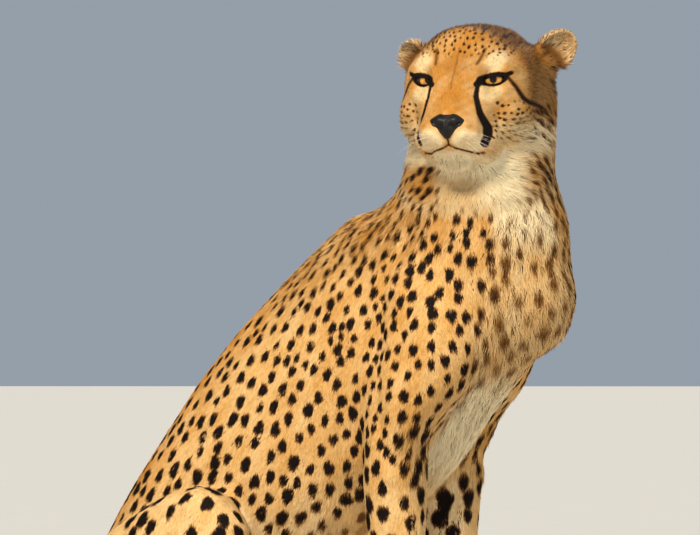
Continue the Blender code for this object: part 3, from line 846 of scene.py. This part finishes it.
palePatches = [
    # Centre, half width and half height in the head's frame, and how pale.
    ((40, 19), 11, 12, 0.5),
    ((36, -15), 13, 11, 0.45),
    ((20, -68), 17, 13, 0.7),
    ((0, -93), 32, 16, 1.0),
    ((46, -60), 14, 16, 0.35),
]

faceStrokes = {
    # Name: the line, its half width, its softness and its darkness.
    "eyeCorner": ([(25, -6), (31, -3)], 3.2, 0.8, 1.0),
    "eyeTail": ([(47, 3), (56, 7)], 2.2, 0.8, 1.0),
    "mouth": (mouthLine, 0.9, 0.8, 0.8),
    "lipFold": ([(0, -64), (0, -73)], 0.8, 0.8, 0.8),
    "forehead": ([(0, 34), (0, -12)], 1.4, 1.6, 0.35),
    "brow": ([(27, 33), (25, 24), (23, 16)], 1.8, 2.4, 0.55),
    "cheek": ([(52, 4), (60, -7), (67, -20), (76, -30)], 1.7, 1.5, 0.8),
}


def paintFace(coat, brown):
    head, at = coat.near["head"], coat.at
    u, z = np.abs(at[:, 0]), at[:, 2]
    flat = np.column_stack([u, z])
    front = fall(at[:, 1], 25, 50)

    def patch(centre, wide, tall):
        reach = np.hypot((u - centre[0]) / wide, (z - centre[1]) / tall)
        return head * front * fall(reach, 0.6, 1.25)

    coat.over(head * (bump(u, 0, 22) * ramp(z, -52, -36) * front), ochre=0.9, pale=0.0)
    for centre, wide, tall, amount in palePatches:
        coat.over(patch(centre, wide, tall), pale=amount, ochre=0.0)
    coat.over(patch((0, -52), 15, 12), ochre=0.7, pale=0.2)
    # The rim of the eye's opening, thicker above, and the tear line, thinner on the right.
    rim = lidRim(1, 15, 8)
    reach, _ = curveDistance(flat, [(place[0], place[2]) for place in rim + rim[:1]])
    upper = ramp(z - 0.21 * (u - 38), -1, 2)
    dark = fall(reach, 1.5 + 2.3 * upper, 2.9 + 2.5 * upper)
    tear, along = curveDistance(flat, tearLine)
    thick = np.where(at[:, 0] > 0, 1.0, 0.6)
    dark = np.maximum(dark, fall(tear, (1.3 + 1.3 * along) * thick, (3.0 + 1.5 * along) * thick))
    dark = dark * front
    for name, (line, half, soft, amount) in faceStrokes.items():
        distance, _ = curveDistance(flat, line)
        stroke = amount * fall(distance, half - soft, half + soft)
        dark = np.maximum(dark, stroke if name == "cheek" else stroke * front)
    coat.over(head, dark=np.maximum(dark, brown))


# Sampling places on the skin.
class Surface:
    def __init__(self, obj):
        mesh = obj.data
        mesh.calc_loop_triangles()
        count = len(mesh.loop_triangles)
        self.corners, loops = (np.empty(count * 3, np.int32) for _ in range(2))
        mesh.loop_triangles.foreach_get("vertices", self.corners)
        mesh.loop_triangles.foreach_get("loops", loops)
        self.corners = self.corners.reshape(-1, 3)
        uv = np.empty(len(mesh.loops) * 2, np.float32)
        mesh.uv_layers["OFBake"].data.foreach_get("uv", uv)
        self.uv = uv.reshape(-1, 2)[loops.reshape(-1, 3)]
        self.points, self.outward = places(mesh), normals(mesh)
        a, b, c = (self.points[self.corners[:, i]] for i in range(3))
        self.area = np.linalg.norm(np.cross(b - a, c - a), axis=1) / 2 / mm**2
        self.middle = (a + b + c) / 3
        self.facing = unit(self.outward[self.corners].mean(1))

    def scatter(self, density, seed, count=None):
        # Random places with this many in a square millimetre of each triangle.
        rng = np.random.default_rng(seed)
        total = np.cumsum(self.area * density)
        count = int(total[-1]) if count is None else count
        chosen = (np.arange(count) + rng.random(count)) * total[-1] / count
        chosen = np.minimum(np.searchsorted(total, chosen), len(total) - 1)
        share = rng.random((count, 2))
        share[share.sum(1) > 1] = 1 - share[share.sum(1) > 1]
        share = np.column_stack([1 - share.sum(1), share])[:, :, None]
        corners = self.corners[chosen]
        place = (self.points[corners] * share).sum(1)
        outward = unit((self.outward[corners] * share).sum(1))
        return place, outward, (self.uv[chosen] * share).sum(1)


surface = Surface(skin)
print("Skin area in square metres:", round(surface.area.sum() * mm**2, 3))


# Spots: scattered with the local gap between them, long ones along the hair.
spotSettings = {
    "seed": 41,
    "tries": 60000,
    "faintest": 0.08,
    "roomSpread": 0.09,
    "packing": 0.92,
    "cell": 12.0,
    "paintCell": 0.016,
    "sizes": (0.75, 1.15),
    "strengths": (0.85, 1.0),
    "longer": 1.3,
    "wander": 0.10,
    "waves": ((2, 0.7), (3, 1.0), (5, 0.5)),
    "rimEnd": 1.12,
    "depth": 9,
    "facing": 0.35,
}


def isCrowded(here, room, grid):
    # Whether a kept spot lies nearer than the room that this one needs, in millimetres.
    x, y, z = cellOf(here)
    reach = int(room // spotSettings["cell"]) + 1
    steps = range(-reach, reach + 1)
    cells = ((x + dx, y + dy, z + dz) for dx in steps for dy in steps for dz in steps)
    least = room * room * spotSettings["packing"]
    arms = (here - other for cell in cells for other in grid.get(cell, ()))
    return any(arm @ arm < least for arm in arms)


def cellOf(here):
    return tuple(np.floor(here / spotSettings["cell"]).astype(int).tolist())


def layTangent(way, outward):
    return unit(way - outward * (way * outward).sum(1)[:, None])


def scatterSpots():
    seed, tries = spotSettings["seed"], spotSettings["tries"]
    coat = coatAt(*surface.scatter(1.0, seed, tries)[:2])
    # Small spots on the head need more tries to fill their region.
    body = coat.near["head"] <= 0.3
    extra = coatAt(*surface.scatter(headness(surface.middle), seed + 1, tries // 2)[:2])
    place = np.concatenate([coat.points[body], extra.points])
    outward = np.concatenate([coat.outward[body], extra.outward])
    names = ("gap", "size", "strength", "soft", "way")
    gap, size, strength, soft, way = (np.concatenate([coat[n][body], extra[n]]) for n in names)
    rng = np.random.default_rng(seed)
    order = rng.permutation(len(place))
    room = gap * (1 + rng.normal(0, spotSettings["roomSpread"], len(place)))
    grid = {}
    kept = []
    for i in order:
        here = place[i] / mm
        if strength[i] < spotSettings["faintest"] or isCrowded(here, room[i], grid):
            continue
        grid.setdefault(cellOf(here), []).append(here)
        kept.append(i)
    count = len(kept)
    along = layTangent(way[kept], outward[kept])
    return {
        "place": place[kept],
        "outward": outward[kept],
        "along": along,
        "across": np.cross(outward[kept], along),
        "size": size[kept] * rng.uniform(*spotSettings["sizes"], count),
        "strength": strength[kept] * rng.uniform(*spotSettings["strengths"], count),
        "soft": soft[kept],
        "waves": rng.uniform(0, 2 * math.pi, (count, 3)),
    }


cellSteps = np.array([1000000, 1000, 1])


def cellKeys(points):
    # A whole number for each point's cell; cellSteps lead on to the cells beside it.
    return (np.floor(points / spotSettings["paintCell"]).astype(np.int64) + 500) @ cellSteps


def paintSpots(points, outward):
    mask = np.zeros(len(points))
    keys = cellKeys(points)
    order = np.argsort(keys, kind="stable")
    names, starts, counts = np.unique(keys[order], return_index=True, return_counts=True)
    table = {int(n): (s, c) for n, s, c in zip(names, starts, counts)}
    around = (np.indices((3, 3, 3)).reshape(3, -1).T - 1) @ cellSteps
    for i, base in enumerate(cellKeys(spots["place"])):
        found = [table[key] for key in (base + around).tolist() if key in table]
        if not found:
            continue
        spot = {name: values[i] for name, values in spots.items()}
        index = np.concatenate([order[s : s + c] for s, c in found])
        arm = (points[index] - spot["place"]) / mm
        level = np.abs(arm @ spot["outward"])
        a, b = arm @ spot["along"], arm @ spot["across"]
        turn = np.arctan2(b, a)
        waves = zip(spotSettings["waves"], spot["waves"])
        edge = sum(np.sin(count * turn + start) * height for (count, height), start in waves)
        size = spot["size"] * (1 + spotSettings["wander"] * edge)
        reach = np.hypot(a / spotSettings["longer"], b) / size
        facing = outward[index] @ spot["outward"] > spotSettings["facing"]
        value = fall(reach, 1 - spot["soft"], spotSettings["rimEnd"] + spot["soft"])
        value = value * spot["strength"] * (facing & (level < spotSettings["depth"]))
        mask[index] = np.maximum(mask[index], value)
    return mask


spots = scatterSpots()
print("Spots:", len(spots["size"]))


def marksAt(coat, fleck):
    # The pigment at each place: dark, pale and ochre, each 0 to 1.
    dark = np.maximum(paintSpots(coat.points, coat.outward), coat["dark"])
    dark = np.maximum(dark, fleck)
    cloud = ripple(coat.points, 0.035, 5) * 0.08 + ripple(coat.points, 0.009, 6) * 0.06
    pale, ochre = np.clip([coat["pale"] + cloud, coat["ochre"] - cloud], 0, 1)
    return np.column_stack([dark, pale, ochre])


def paintSkin():
    coat = coatAt(surface.points, surface.outward)
    storeVectors(skin.data, "marks", marksAt(coat, coat["fleck"] * 0.6))
    storeVectors(skin.data, "tone", np.zeros_like(surface.points))


paintSkin()
print("Skin painted")


# Coat colours, shared by the skin and the tufts.
furColours = {
    "tan": (0.73, 0.41, 0.115),
    "pale": (0.94, 0.79, 0.50),
    "ochre": (0.52, 0.215, 0.032),
    "brown": (0.20, 0.080, 0.016),
    "dark": (0.007, 0.004, 0.003),
}


def furColour(wire):
    dark, pale, ochre = wire.parts("marks")
    shade, tip, _ = wire.parts("tone")
    edge = dark.limited(0.05, 0.5)
    core = dark.limited(0.35, 0.8)
    colour = ochre.mix(furColours["tan"], furColours["ochre"])
    colour = pale.mix(colour, furColours["pale"])
    inputs = {0: colour, 3: shade * 0.16 + tip * 0.28 + 0.84}
    light = wire.node("ShaderNodeVectorMath", {"operation": "SCALE"}, inputs)
    return core.mix(edge.mix(light, furColours["brown"]), furColours["dark"])


def furMaterial(name, bumpy):
    def changing(wire):
        links = {"Base Color": furColour(wire)}
        if bumpy:
            links["Normal"] = wire.noise(900.0, 4.0).relief(0.5, 0.0006)
        return links

    return newMaterial(name, {"Roughness": 0.75, "Specular IOR Level": 0.10}, changing)


skin.data.materials.clear()
skin.data.materials.append(furMaterial("undercoat", True))
coatMaterial = furMaterial("coatHair", False)


# The coat: tapered tufts rooted in the skin, joined into a piece for each part of the body.
coatSettings = {
    "seed": 77,
    "most": 46000,
    "lengths": (0.72, 1.25),
    "widths": (0.8, 1.25),
    "liftJitter": 0.05,
    "lifts": (0.04, 2.5),
    "droop": 0.35,
    "thick": 0.42,
    "sunk": 0.4 * mm,
    "patch": 0.0015,
    "wayJitter": 0.05,
    "turnJitter": 0.22,
    "lockSpan": 0.016,
    "lockFrom": 9,
    "lockRise": 0.03,
    "lockMost": 0.35,
    "flecks": (0.3, 0.8),
    "markedAt": (0.1, 0.8),
    "share": 0.488,
}


def tuftMesh(name, place, outward, along, uv, coat, marks, rng):
    # Each tuft is a closed lock: a three-cornered root and a point.
    count = len(place)
    across = np.cross(outward, along)
    length = coat["length"] * rng.uniform(*coatSettings["lengths"], count) * mm
    width = coat["width"] * rng.uniform(*coatSettings["widths"], count) * mm
    lift = coat["lift"] + rng.normal(0, coatSettings["liftJitter"], count)
    rise = length * (np.clip(lift, *coatSettings["lifts"]) * (1 - coatSettings["droop"]))
    half = across * (width / 2)[:, None]
    crest = outward * (width * coatSettings["thick"])[:, None]
    root = place - outward * coatSettings["sunk"]
    tip = place + along * length[:, None] + outward * rise[:, None]
    points = np.stack([root - half, root + half, root + crest, tip], 1).reshape(-1, 3)
    points[:, 2] = np.maximum(points[:, 2], aboveFloor)
    shape = np.array([[0, 3, 2], [2, 3, 1], [1, 3, 0], [0, 2, 1]])
    faces = (np.arange(count)[:, None, None] * 4 + shape).reshape(-1, 3)
    mesh = bpy.data.meshes.new(name)
    mesh.vertices.add(len(points))
    mesh.vertices.foreach_set("co", points.astype(np.float32).ravel())
    mesh.loops.add(faces.size)
    mesh.loops.foreach_set("vertex_index", faces.astype(np.int32).ravel())
    mesh.polygons.add(len(faces))
    mesh.polygons.foreach_set("loop_start", np.arange(0, faces.size, 3, dtype=np.int32))
    leans = ((across, -0.55), (across, 0.55), (along, 0.1), (along, 0.35))
    shading = unit(np.stack([outward + way * lean for way, lean in leans], 1))
    tone = np.zeros((count, 4, 3))
    tone[:, :, 0] = rng.uniform(-1, 1, count)[:, None]
    tone[:, 3, 1] = 1
    stored = {"custom_normal": shading, "marks": marks[:, [0, 0, 0, 1]], "tone": tone}
    for key, values in stored.items():
        storeVectors(mesh, key, values)
    patch = np.array([[-1, -1], [1, -1], [0, -1], [0, 1]]) * coatSettings["patch"]
    spread = np.clip(uv, 0.002, 0.998)[:, None, :] + patch
    layer = mesh.uv_layers.new(name="OFBake")
    layer.data.foreach_set("uv", spread.reshape(-1, 2)[faces.ravel()].astype(np.float32).ravel())
    mesh.update(calc_edges=True)
    mesh.materials.append(coatMaterial)
    return newObject(name, mesh)


def pieceNames(coat):
    # The name of the coat piece that each tuft goes into; later ones win.
    near = {name: value > 0.5 for name, value in coat.near.items()}
    names = np.full(len(coat.points), "coatTrunk", dtype="U20")
    for name, inside in (
        ("coatNeck", coat.points[:, 2] > 0.60),
        ("coatForeleg", near["fore"]),
        ("coatHindleg", near["hind"]),
        ("coatTail", near["tail"]),
        ("coatCrown", near["head"]),
        ("coatFace", near["head"] & (coat.at[:, 1] < 40)),
        ("coatEar", near["ear"]),
    ):
        names[inside] = name
    return names


def growCoat():
    rng = np.random.default_rng(coatSettings["seed"])
    field = coatAt(surface.middle, surface.facing)
    # No hair inside the eye pockets, on the soles or under the nose leather.
    bare = noseCover(field.at) | (surface.middle[:, 2] < 0.8 * mm) | eyePocket(field.at)
    density = np.where(bare, 0, field["density"] * coatSettings["share"])
    place, outward, uv = surface.scatter(density, coatSettings["seed"])
    coat = coatAt(place, outward)
    way = coat["way"] + rng.normal(0, 1, place.shape) * coatSettings["wayJitter"]
    along = layTangent(way, outward)
    # Longer hair gathers into locks.
    longer = (coat["length"] - coatSettings["lockFrom"]) * coatSettings["lockRise"]
    wave = ripple(place, coatSettings["lockSpan"], 21) * np.clip(longer, 0, coatSettings["lockMost"])
    turn = (rng.normal(0, coatSettings["turnJitter"], len(place)) + wave)[:, None]
    along = unit(along * np.cos(turn) + np.cross(outward, along) * np.sin(turn))
    fleck = rng.random(len(place)) < coat["fleck"]
    fleck = fleck * rng.uniform(*coatSettings["flecks"], len(place))
    # Each tuft takes the pattern at its root and under its tip, so spots keep clean edges.
    seen = [place + along * (coat["length"] * share * mm)[:, None] for share in coatSettings["markedAt"]]
    marks = np.stack([marksAt(coatAt(at, outward), fleck) for at in seen], 1)
    names = pieceNames(coat)
    made = []
    for name in np.unique(names):
        chosen = np.nonzero(names == name)[0]
        chosen = chosen[np.argsort(place[chosen, 0])]
        count = math.ceil(len(chosen) / coatSettings["most"])
        for number, part in enumerate(np.array_split(chosen, count), 1):
            values = {key: value[part] for key, value in coat.values.items()}
            parts = (place[part], outward[part], along[part], uv[part])
            made.append(tuftMesh(f"{name}{number}", *parts, values, marks[part], rng))
    print("Tufts:", len(place), "in", len(made), "pieces")
    return made


def noseCover(at):
    leather = (np.abs(at[:, 0]) < 18 - 0.6 * np.maximum(-48 - at[:, 2], 0)) & (at[:, 1] < -58)
    return leather & (at[:, 2] < -43) & (at[:, 2] > -66)


def eyePocket(at):
    reach = (np.linalg.norm(at - eyeFrame(sign)[0], axis=1) for sign in (1, -1))
    return np.minimum(*reach) < lidReach - 0.7


coatPieces = growCoat()


# Small hard parts: eyes, nose leather, claws and whiskers.
def growTube(bm, path, radii, corners):
    # A closed tapering tube along a path, its ring turned to face each step.
    path = [Vector(place) for place in path]
    ring = None
    for i, (place, radius) in enumerate(zip(path, radii)):
        ahead = path[min(i + 1, len(path) - 1)] - path[max(i - 1, 0)]
        matrix = Matrix.Translation(place) @ ahead.to_track_quat("Z", "Y").to_matrix().to_4x4()
        ends = i in (0, len(path) - 1)
        made = bmesh.ops.create_circle(
            bm, cap_ends=ends, segments=corners, radius=radius, matrix=matrix
        )
        edges = list({edge for vert in made["verts"] for edge in vert.link_edges})
        if ring:
            bmesh.ops.bridge_loops(bm, edges=ring + edges)
        ring = edges


eyeSettings = {
    "segments": 64,
    "rings": 96,
    "gaze": (0.20, -1.0, -0.02),
    "turnOut": 0.05,
    "shrink": 0.15 * mm,
    "bulge": 0.9 * mm,
}

irisStops = [
    (0.0, (0.004, 0.003, 0.003)),
    (0.145, (0.006, 0.004, 0.003)),
    (0.175, (0.40, 0.17, 0.03)),
    (0.30, (0.72, 0.33, 0.06)),
    (0.40, (0.60, 0.26, 0.05)),
    (0.445, (0.05, 0.022, 0.01)),
    (0.60, (0.03, 0.018, 0.013)),
]


def eyeMaterial():
    def changing(wire):
        # Degrees from the gaze, the turn about it, and millimetres above the eye's centre.
        ring, spoke, up = wire.parts("ring")
        where = wire.node("ShaderNodeCombineXYZ", {}, {"X": spoke * 6.0, "Y": ring * 0.6})
        fibres = wire.noise(3.0, where=where)
        place = ring * (1 / 90) + (fibres - 0.5) * 0.02
        colour = wire.node("ShaderNodeValToRGB", {"stops": irisStops}, {"Fac": place})
        iris = ring.limited(13, 18) * (1 - ring.limited(38, 42))
        colour = (fibres.limited(0.3, 0.75) * iris * 0.4).mix(colour, (0.80, 0.42, 0.10))
        # Painted shade: the upper lid's shadow is painted into the iris colour, darkening the eye above
        # its centre.
        lidShadow = up.limited(-1.0, 3.0)
        return {"Base Color": (lidShadow * 0.94).mix(colour, (0.004, 0.003, 0.003))}

    steady = {"Roughness": 0.3, "Specular IOR Level": 0.1, "Coat Weight": 0.22, "Coat Roughness": 0.03}
    return newMaterial("wetEye", steady, changing)


def makeEye(side, material):
    node = "eye_" + side
    centre = boxAt(node)
    gaze = unit(eyeSettings["gaze"] + np.array([sides[side] * eyeSettings["turnOut"], 0, 0])) @ headAxes
    turn = Vector(gaze).to_track_quat("Z", "Y").to_matrix().to_4x4()
    bm = bmesh.new()
    bmesh.ops.create_uvsphere(
        bm,
        u_segments=eyeSettings["segments"],
        v_segments=eyeSettings["rings"],
        radius=eyeRadius - eyeSettings["shrink"],
        matrix=Matrix.Translation(centre) @ turn,
    )
    eye = fromBmesh("eyeball" + side.capitalize(), bm)
    arm = places(eye.data) - centre
    ring = np.degrees(np.arccos(np.clip(unit(arm) @ gaze, -1, 1)))
    local = arm @ np.array(turn.to_3x3())
    spoke = np.abs(np.arctan2(local[:, 1], local[:, 0]))
    storeVectors(eye.data, "ring", np.column_stack([ring, spoke, arm[:, 2] / mm]))
    # The cornea stands a little proud of the ball.
    bulge = eyeSettings["bulge"] * ramp(-ring, -42, -8)
    movePlaces(eye.data, places(eye.data) + unit(arm) * bulge[:, None])
    dress(eye, material)
    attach(eye, "root")
    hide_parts(node)


noseSettings = {
    "grain": 0.8 * mm,
    "turns": 14,
    "root": -63,
    "flatten": 0.86,
    "hollow": 2.0,
    "widen": 0.08,
    "wing": 1.0,
    "pit": 2.6,
    "crease": 0.9,
    "nostril": [(5.5, -52), (8.5, -53.5), (12.0, -52), (14.5, -49)],
}


def makeNose():
    bm = bmesh.new()
    bm.from_mesh(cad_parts["nose"].data)
    bmesh.ops.remove_doubles(bm, verts=bm.verts, dist=0.001 * mm)
    nose = fromBmesh("noseLeather", bm)
    modify(nose, "REMESH", mode="VOXEL", voxel_size=noseSettings["grain"])
    modify(nose, "SMOOTH", factor=0.6, iterations=noseSettings["turns"])
    # A low, slightly hollow top between two wide wings.
    at = toHead(places(nose.data))
    root = noseSettings["root"]
    at[:, 2] = root + (at[:, 2] - root) * noseSettings["flatten"]
    at[:, 2] -= noseSettings["hollow"] * bump(at[:, 0], 0, 7) * ramp(at[:, 2], -52, -42)
    at[:, 0] *= 1 + noseSettings["widen"] * ramp(at[:, 2], -58, -46)
    movePlaces(nose.data, fromHead(at))
    out, z = np.abs(at[:, 0]), at[:, 2]
    ahead = fall(at[:, 1], -62, -56)
    grow = 0.6 + noseSettings["wing"] * bump(out, 8.5, 4.5) * bump(z, -46, 4)
    nostril, along = curveDistance(np.column_stack([out, z]), noseSettings["nostril"])
    grow -= noseSettings["pit"] * bump(nostril, 0, 2.3 - 0.9 * along) * ahead
    grow -= noseSettings["crease"] * bump(out, 0, 1.1) * fall(z, -50, -44) * ahead
    pushOut(nose.data, grow)

    def changing(wire):
        inputs = {"Vector": wire.objectPlace(), "Scale": 1100.0}
        pebbles = wire.node("ShaderNodeTexVoronoi", {"feature": "F1"}, inputs)
        cloud = wire.noise(160.0)
        return {
            "Base Color": cloud.limited(0.35, 0.7).mix((0.003, 0.0025, 0.0025), (0.010, 0.008, 0.007)),
            "Roughness": cloud * 0.25 + 0.36,
            "Normal": pebbles.relief(0.55, 0.0004),
        }

    steady = {"Specular IOR Level": 0.22, "Coat Weight": 0.08, "Coat Roughness": 0.25}
    dress(nose, newMaterial("noseSkin", steady, changing))
    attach(nose, "root")
    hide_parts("nose")


clawSettings = {
    "length": 13.0 * mm,
    "thick": 2.3 * mm,
    "curl": math.radians(62),
    "steps": 9,
    "rootBack": 4.5 * mm,
    "rootUp": 2.2 * mm,
    "tipUp": 1.6 * mm,
}


def clawPath(node):
    # From the root inside the toe, forward and down in an arc.
    low, high = (np.array(corner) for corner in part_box(node))
    points = places(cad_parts[node].data)
    axis = np.linalg.svd(points - points.mean(0), full_matrices=False)[2][0]
    heading = axis * [1, 1, 0]
    heading = unit(heading * math.copysign(1, -heading[1]))
    start = (low + high) / 2 - heading * clawSettings["rootBack"] + [0, 0, clawSettings["rootUp"]]
    radius = clawSettings["length"] / clawSettings["curl"]
    path = []
    for i in range(clawSettings["steps"]):
        angle = clawSettings["curl"] * i / (clawSettings["steps"] - 1)
        place = start + heading * radius * math.sin(angle) - [0, 0, radius * (1 - math.cos(angle))]
        place[2] = max(place[2], clawSettings["tipUp"])
        path.append(place)
    return path


def makeClaws(limb, side):
    bm = bmesh.new()
    nodes = sorted(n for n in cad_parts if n.startswith(f"claw_{limb}_{side}"))
    steps = clawSettings["steps"]
    radii = [clawSettings["thick"] * (1 - (i / (steps - 0.4)) ** 1.6) for i in range(steps)]
    for node in nodes:
        growTube(bm, clawPath(node), radii, corners=10)
    bmesh.ops.recalc_face_normals(bm, faces=bm.faces)
    claws = fromBmesh(f"claws{limb.capitalize()}{side.capitalize()}", bm)
    dress(claws, clawHorn)
    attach(claws, "root")
    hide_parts(*nodes)


def hornChanging(wire):
    grain = wire.noise(420.0)
    return {
        "Base Color": grain.limited(0.3, 0.75).mix((0.035, 0.026, 0.021), (0.16, 0.12, 0.09)),
        "Roughness": grain * 0.3 + 0.22,
    }


clawHorn = newMaterial("clawHorn", {"Coat Weight": 0.3, "Coat Roughness": 0.2}, hornChanging)

whiskerSettings = {
    "seed": 9,
    "rows": 4,
    "perRow": 3,
    "steps": 9,
    "thick": 0.13 * mm,
    "lengths": (20, 42),
    "sag": 0.45,
}


def makeWhiskers():
    rng = np.random.default_rng(whiskerSettings["seed"])
    bm = bmesh.new()
    rows, perRow = range(whiskerSettings["rows"]), range(whiskerSettings["perRow"])
    for sign, row, i in ((sign, row, i) for sign in (1, -1) for row in rows for i in perRow):
        root = skinAhead(sign * (20 + 5.0 * i), -60 - 4.6 * row + rng.uniform(-0.8, 0.8))
        if root is None:
            continue
        length = rng.uniform(*whiskerSettings["lengths"]) * (0.7 + 0.1 * i)
        drop = -0.22 - 0.12 * row + rng.normal(0, 0.08)
        way = unit([sign * 1.0, -0.55 + 0.22 * i, drop])
        sag = np.array([sign * 0.1, 0.45, -0.35 - 0.1 * row])
        path = [
            fromHead(root + way * length * t + sag * length * whiskerSettings["sag"] * t * t)
            for t in np.linspace(-0.04, 1, whiskerSettings["steps"])
        ]
        taper = 1.02 - np.linspace(0, 1, whiskerSettings["steps"])
        growTube(bm, path, whiskerSettings["thick"] * taper, corners=5)
    bmesh.ops.recalc_face_normals(bm, faces=bm.faces)
    whiskers = fromBmesh("whiskers", bm)

    def changing(wire):
        cloud = wire.noise(40.0)
        return {"Base Color": cloud.limited(0.4, 0.7).mix((0.85, 0.80, 0.70), (0.55, 0.45, 0.34))}

    dress(whiskers, newMaterial("whiskerHair", {"Roughness": 0.4}, changing))
    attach(whiskers, "root")


def skinAhead(u, z):
    # The face's surface straight in front of a place in the head's frame.
    start = Vector(fromHead([u, -120, z]))
    hit, place, _, _ = skin.ray_cast(start, Vector(headBack), distance=0.12)
    return toHead(np.array(place)) if hit else None


fleshOnly = [n for n in fleshNodes if n != "nose" and not n.startswith("eye")]
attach(skin, "root")
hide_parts(*fleshOnly)
for piece in coatPieces:
    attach(piece, "root")
wetEye = eyeMaterial()
for side in sides:
    makeEye(side, wetEye)
    for limb in ("front", "hind"):
        makeClaws(limb, side)
makeNose()
makeWhiskers()
print("Eyes, nose, claws and whiskers made")


# Floor, light and camera.
stageSettings = {
    "floorSize": 900.0,
    "floorColour": (0.70, 0.68, 0.64),
    "floorShade": 0.96,
    "sky": (0.60, 0.69, 0.80),
    "skyStrength": 0.50,
    "lit": (middleX, 0, 0.5),
    "aimAcross": 0.0551,
    "aimDepth": -0.15,
    "aimHeight": 0.605,
    "distance": 8.0,
    "height": 0.478,
    "azimuth": math.radians(-60),
    "viewWidth": 0.770,
    "sensor": 36,
}

lightSettings = {
    # Name: the kind, its place towards the camera, across and up, its size, power and colour.
    "keySun": ("SUN", (3.0, -1.0, 2.5), 0.30, 4.3, (1.0, 0.90, 0.74)),
    "fillLight": ("AREA", (2.4, 2.4, 0.8), 2.0, 14, (0.95, 0.97, 1.0)),
    "rimLight": ("AREA", (-2.4, 1.0, 2.4), 1.6, 40, (1.0, 0.96, 0.90)),
}


def makeFloor():
    bm = bmesh.new()
    bmesh.ops.create_grid(bm, x_segments=2, y_segments=2, size=stageSettings["floorSize"])
    floor = fromBmesh("floor", bm)
    colour = stageSettings["floorColour"]

    def changing(wire):
        low = tuple(c * stageSettings["floorShade"] for c in colour)
        return {"Base Color": wire.noise(3.0).mix(low, colour)}

    floor.data.materials.append(newMaterial("paleFloor", {"Roughness": 0.8}, changing))


def makeLights(back, across):
    target = Vector(stageSettings["lit"])
    for name, (kind, (near, aside, up), size, power, colour) in lightSettings.items():
        lamp = bpy.data.lights.new(name, kind)
        setattr(lamp, "angle" if kind == "SUN" else "size", size)
        lamp.energy, lamp.color = power, colour
        made = newObject(name, lamp)
        made.location = target + back * near + across * aside + Vector((0, 0, up))
        made.rotation_euler = (target - made.location).to_track_quat("-Z", "Y").to_euler()


def makeWorld():
    world = bpy.data.worlds.new("studio")
    world.use_nodes = True
    background = world.node_tree.nodes["Background"]
    background.inputs["Color"].default_value = (*stageSettings["sky"], 1)
    background.inputs["Strength"].default_value = stageSettings["skyStrength"]
    bpy.context.scene.world = world


def makeCamera(back, across):
    aim = across * stageSettings["aimAcross"] - back * stageSettings["aimDepth"]
    aim.z = stageSettings["aimHeight"]
    camera = bpy.data.cameras.new("camera")
    made = newObject("camera", camera)
    made.location = aim + back * stageSettings["distance"]
    made.location.z = stageSettings["height"]
    way = aim - made.location
    made.rotation_euler = way.to_track_quat("-Z", "Y").to_euler()
    camera.sensor_width = stageSettings["sensor"]
    camera.lens = camera.sensor_width * way.length / stageSettings["viewWidth"]
    camera.clip_end = 2000
    bpy.context.scene.camera = made


azimuth = stageSettings["azimuth"]
towardsCamera = Vector((math.sin(azimuth), -math.cos(azimuth), 0))
acrossView = Vector((-towardsCamera.y, towardsCamera.x, 0))
makeFloor()
makeWorld()
makeCamera(towardsCamera, acrossView)
makeLights(towardsCamera, acrossView)
bpy.context.scene.view_settings.view_transform = "Standard"
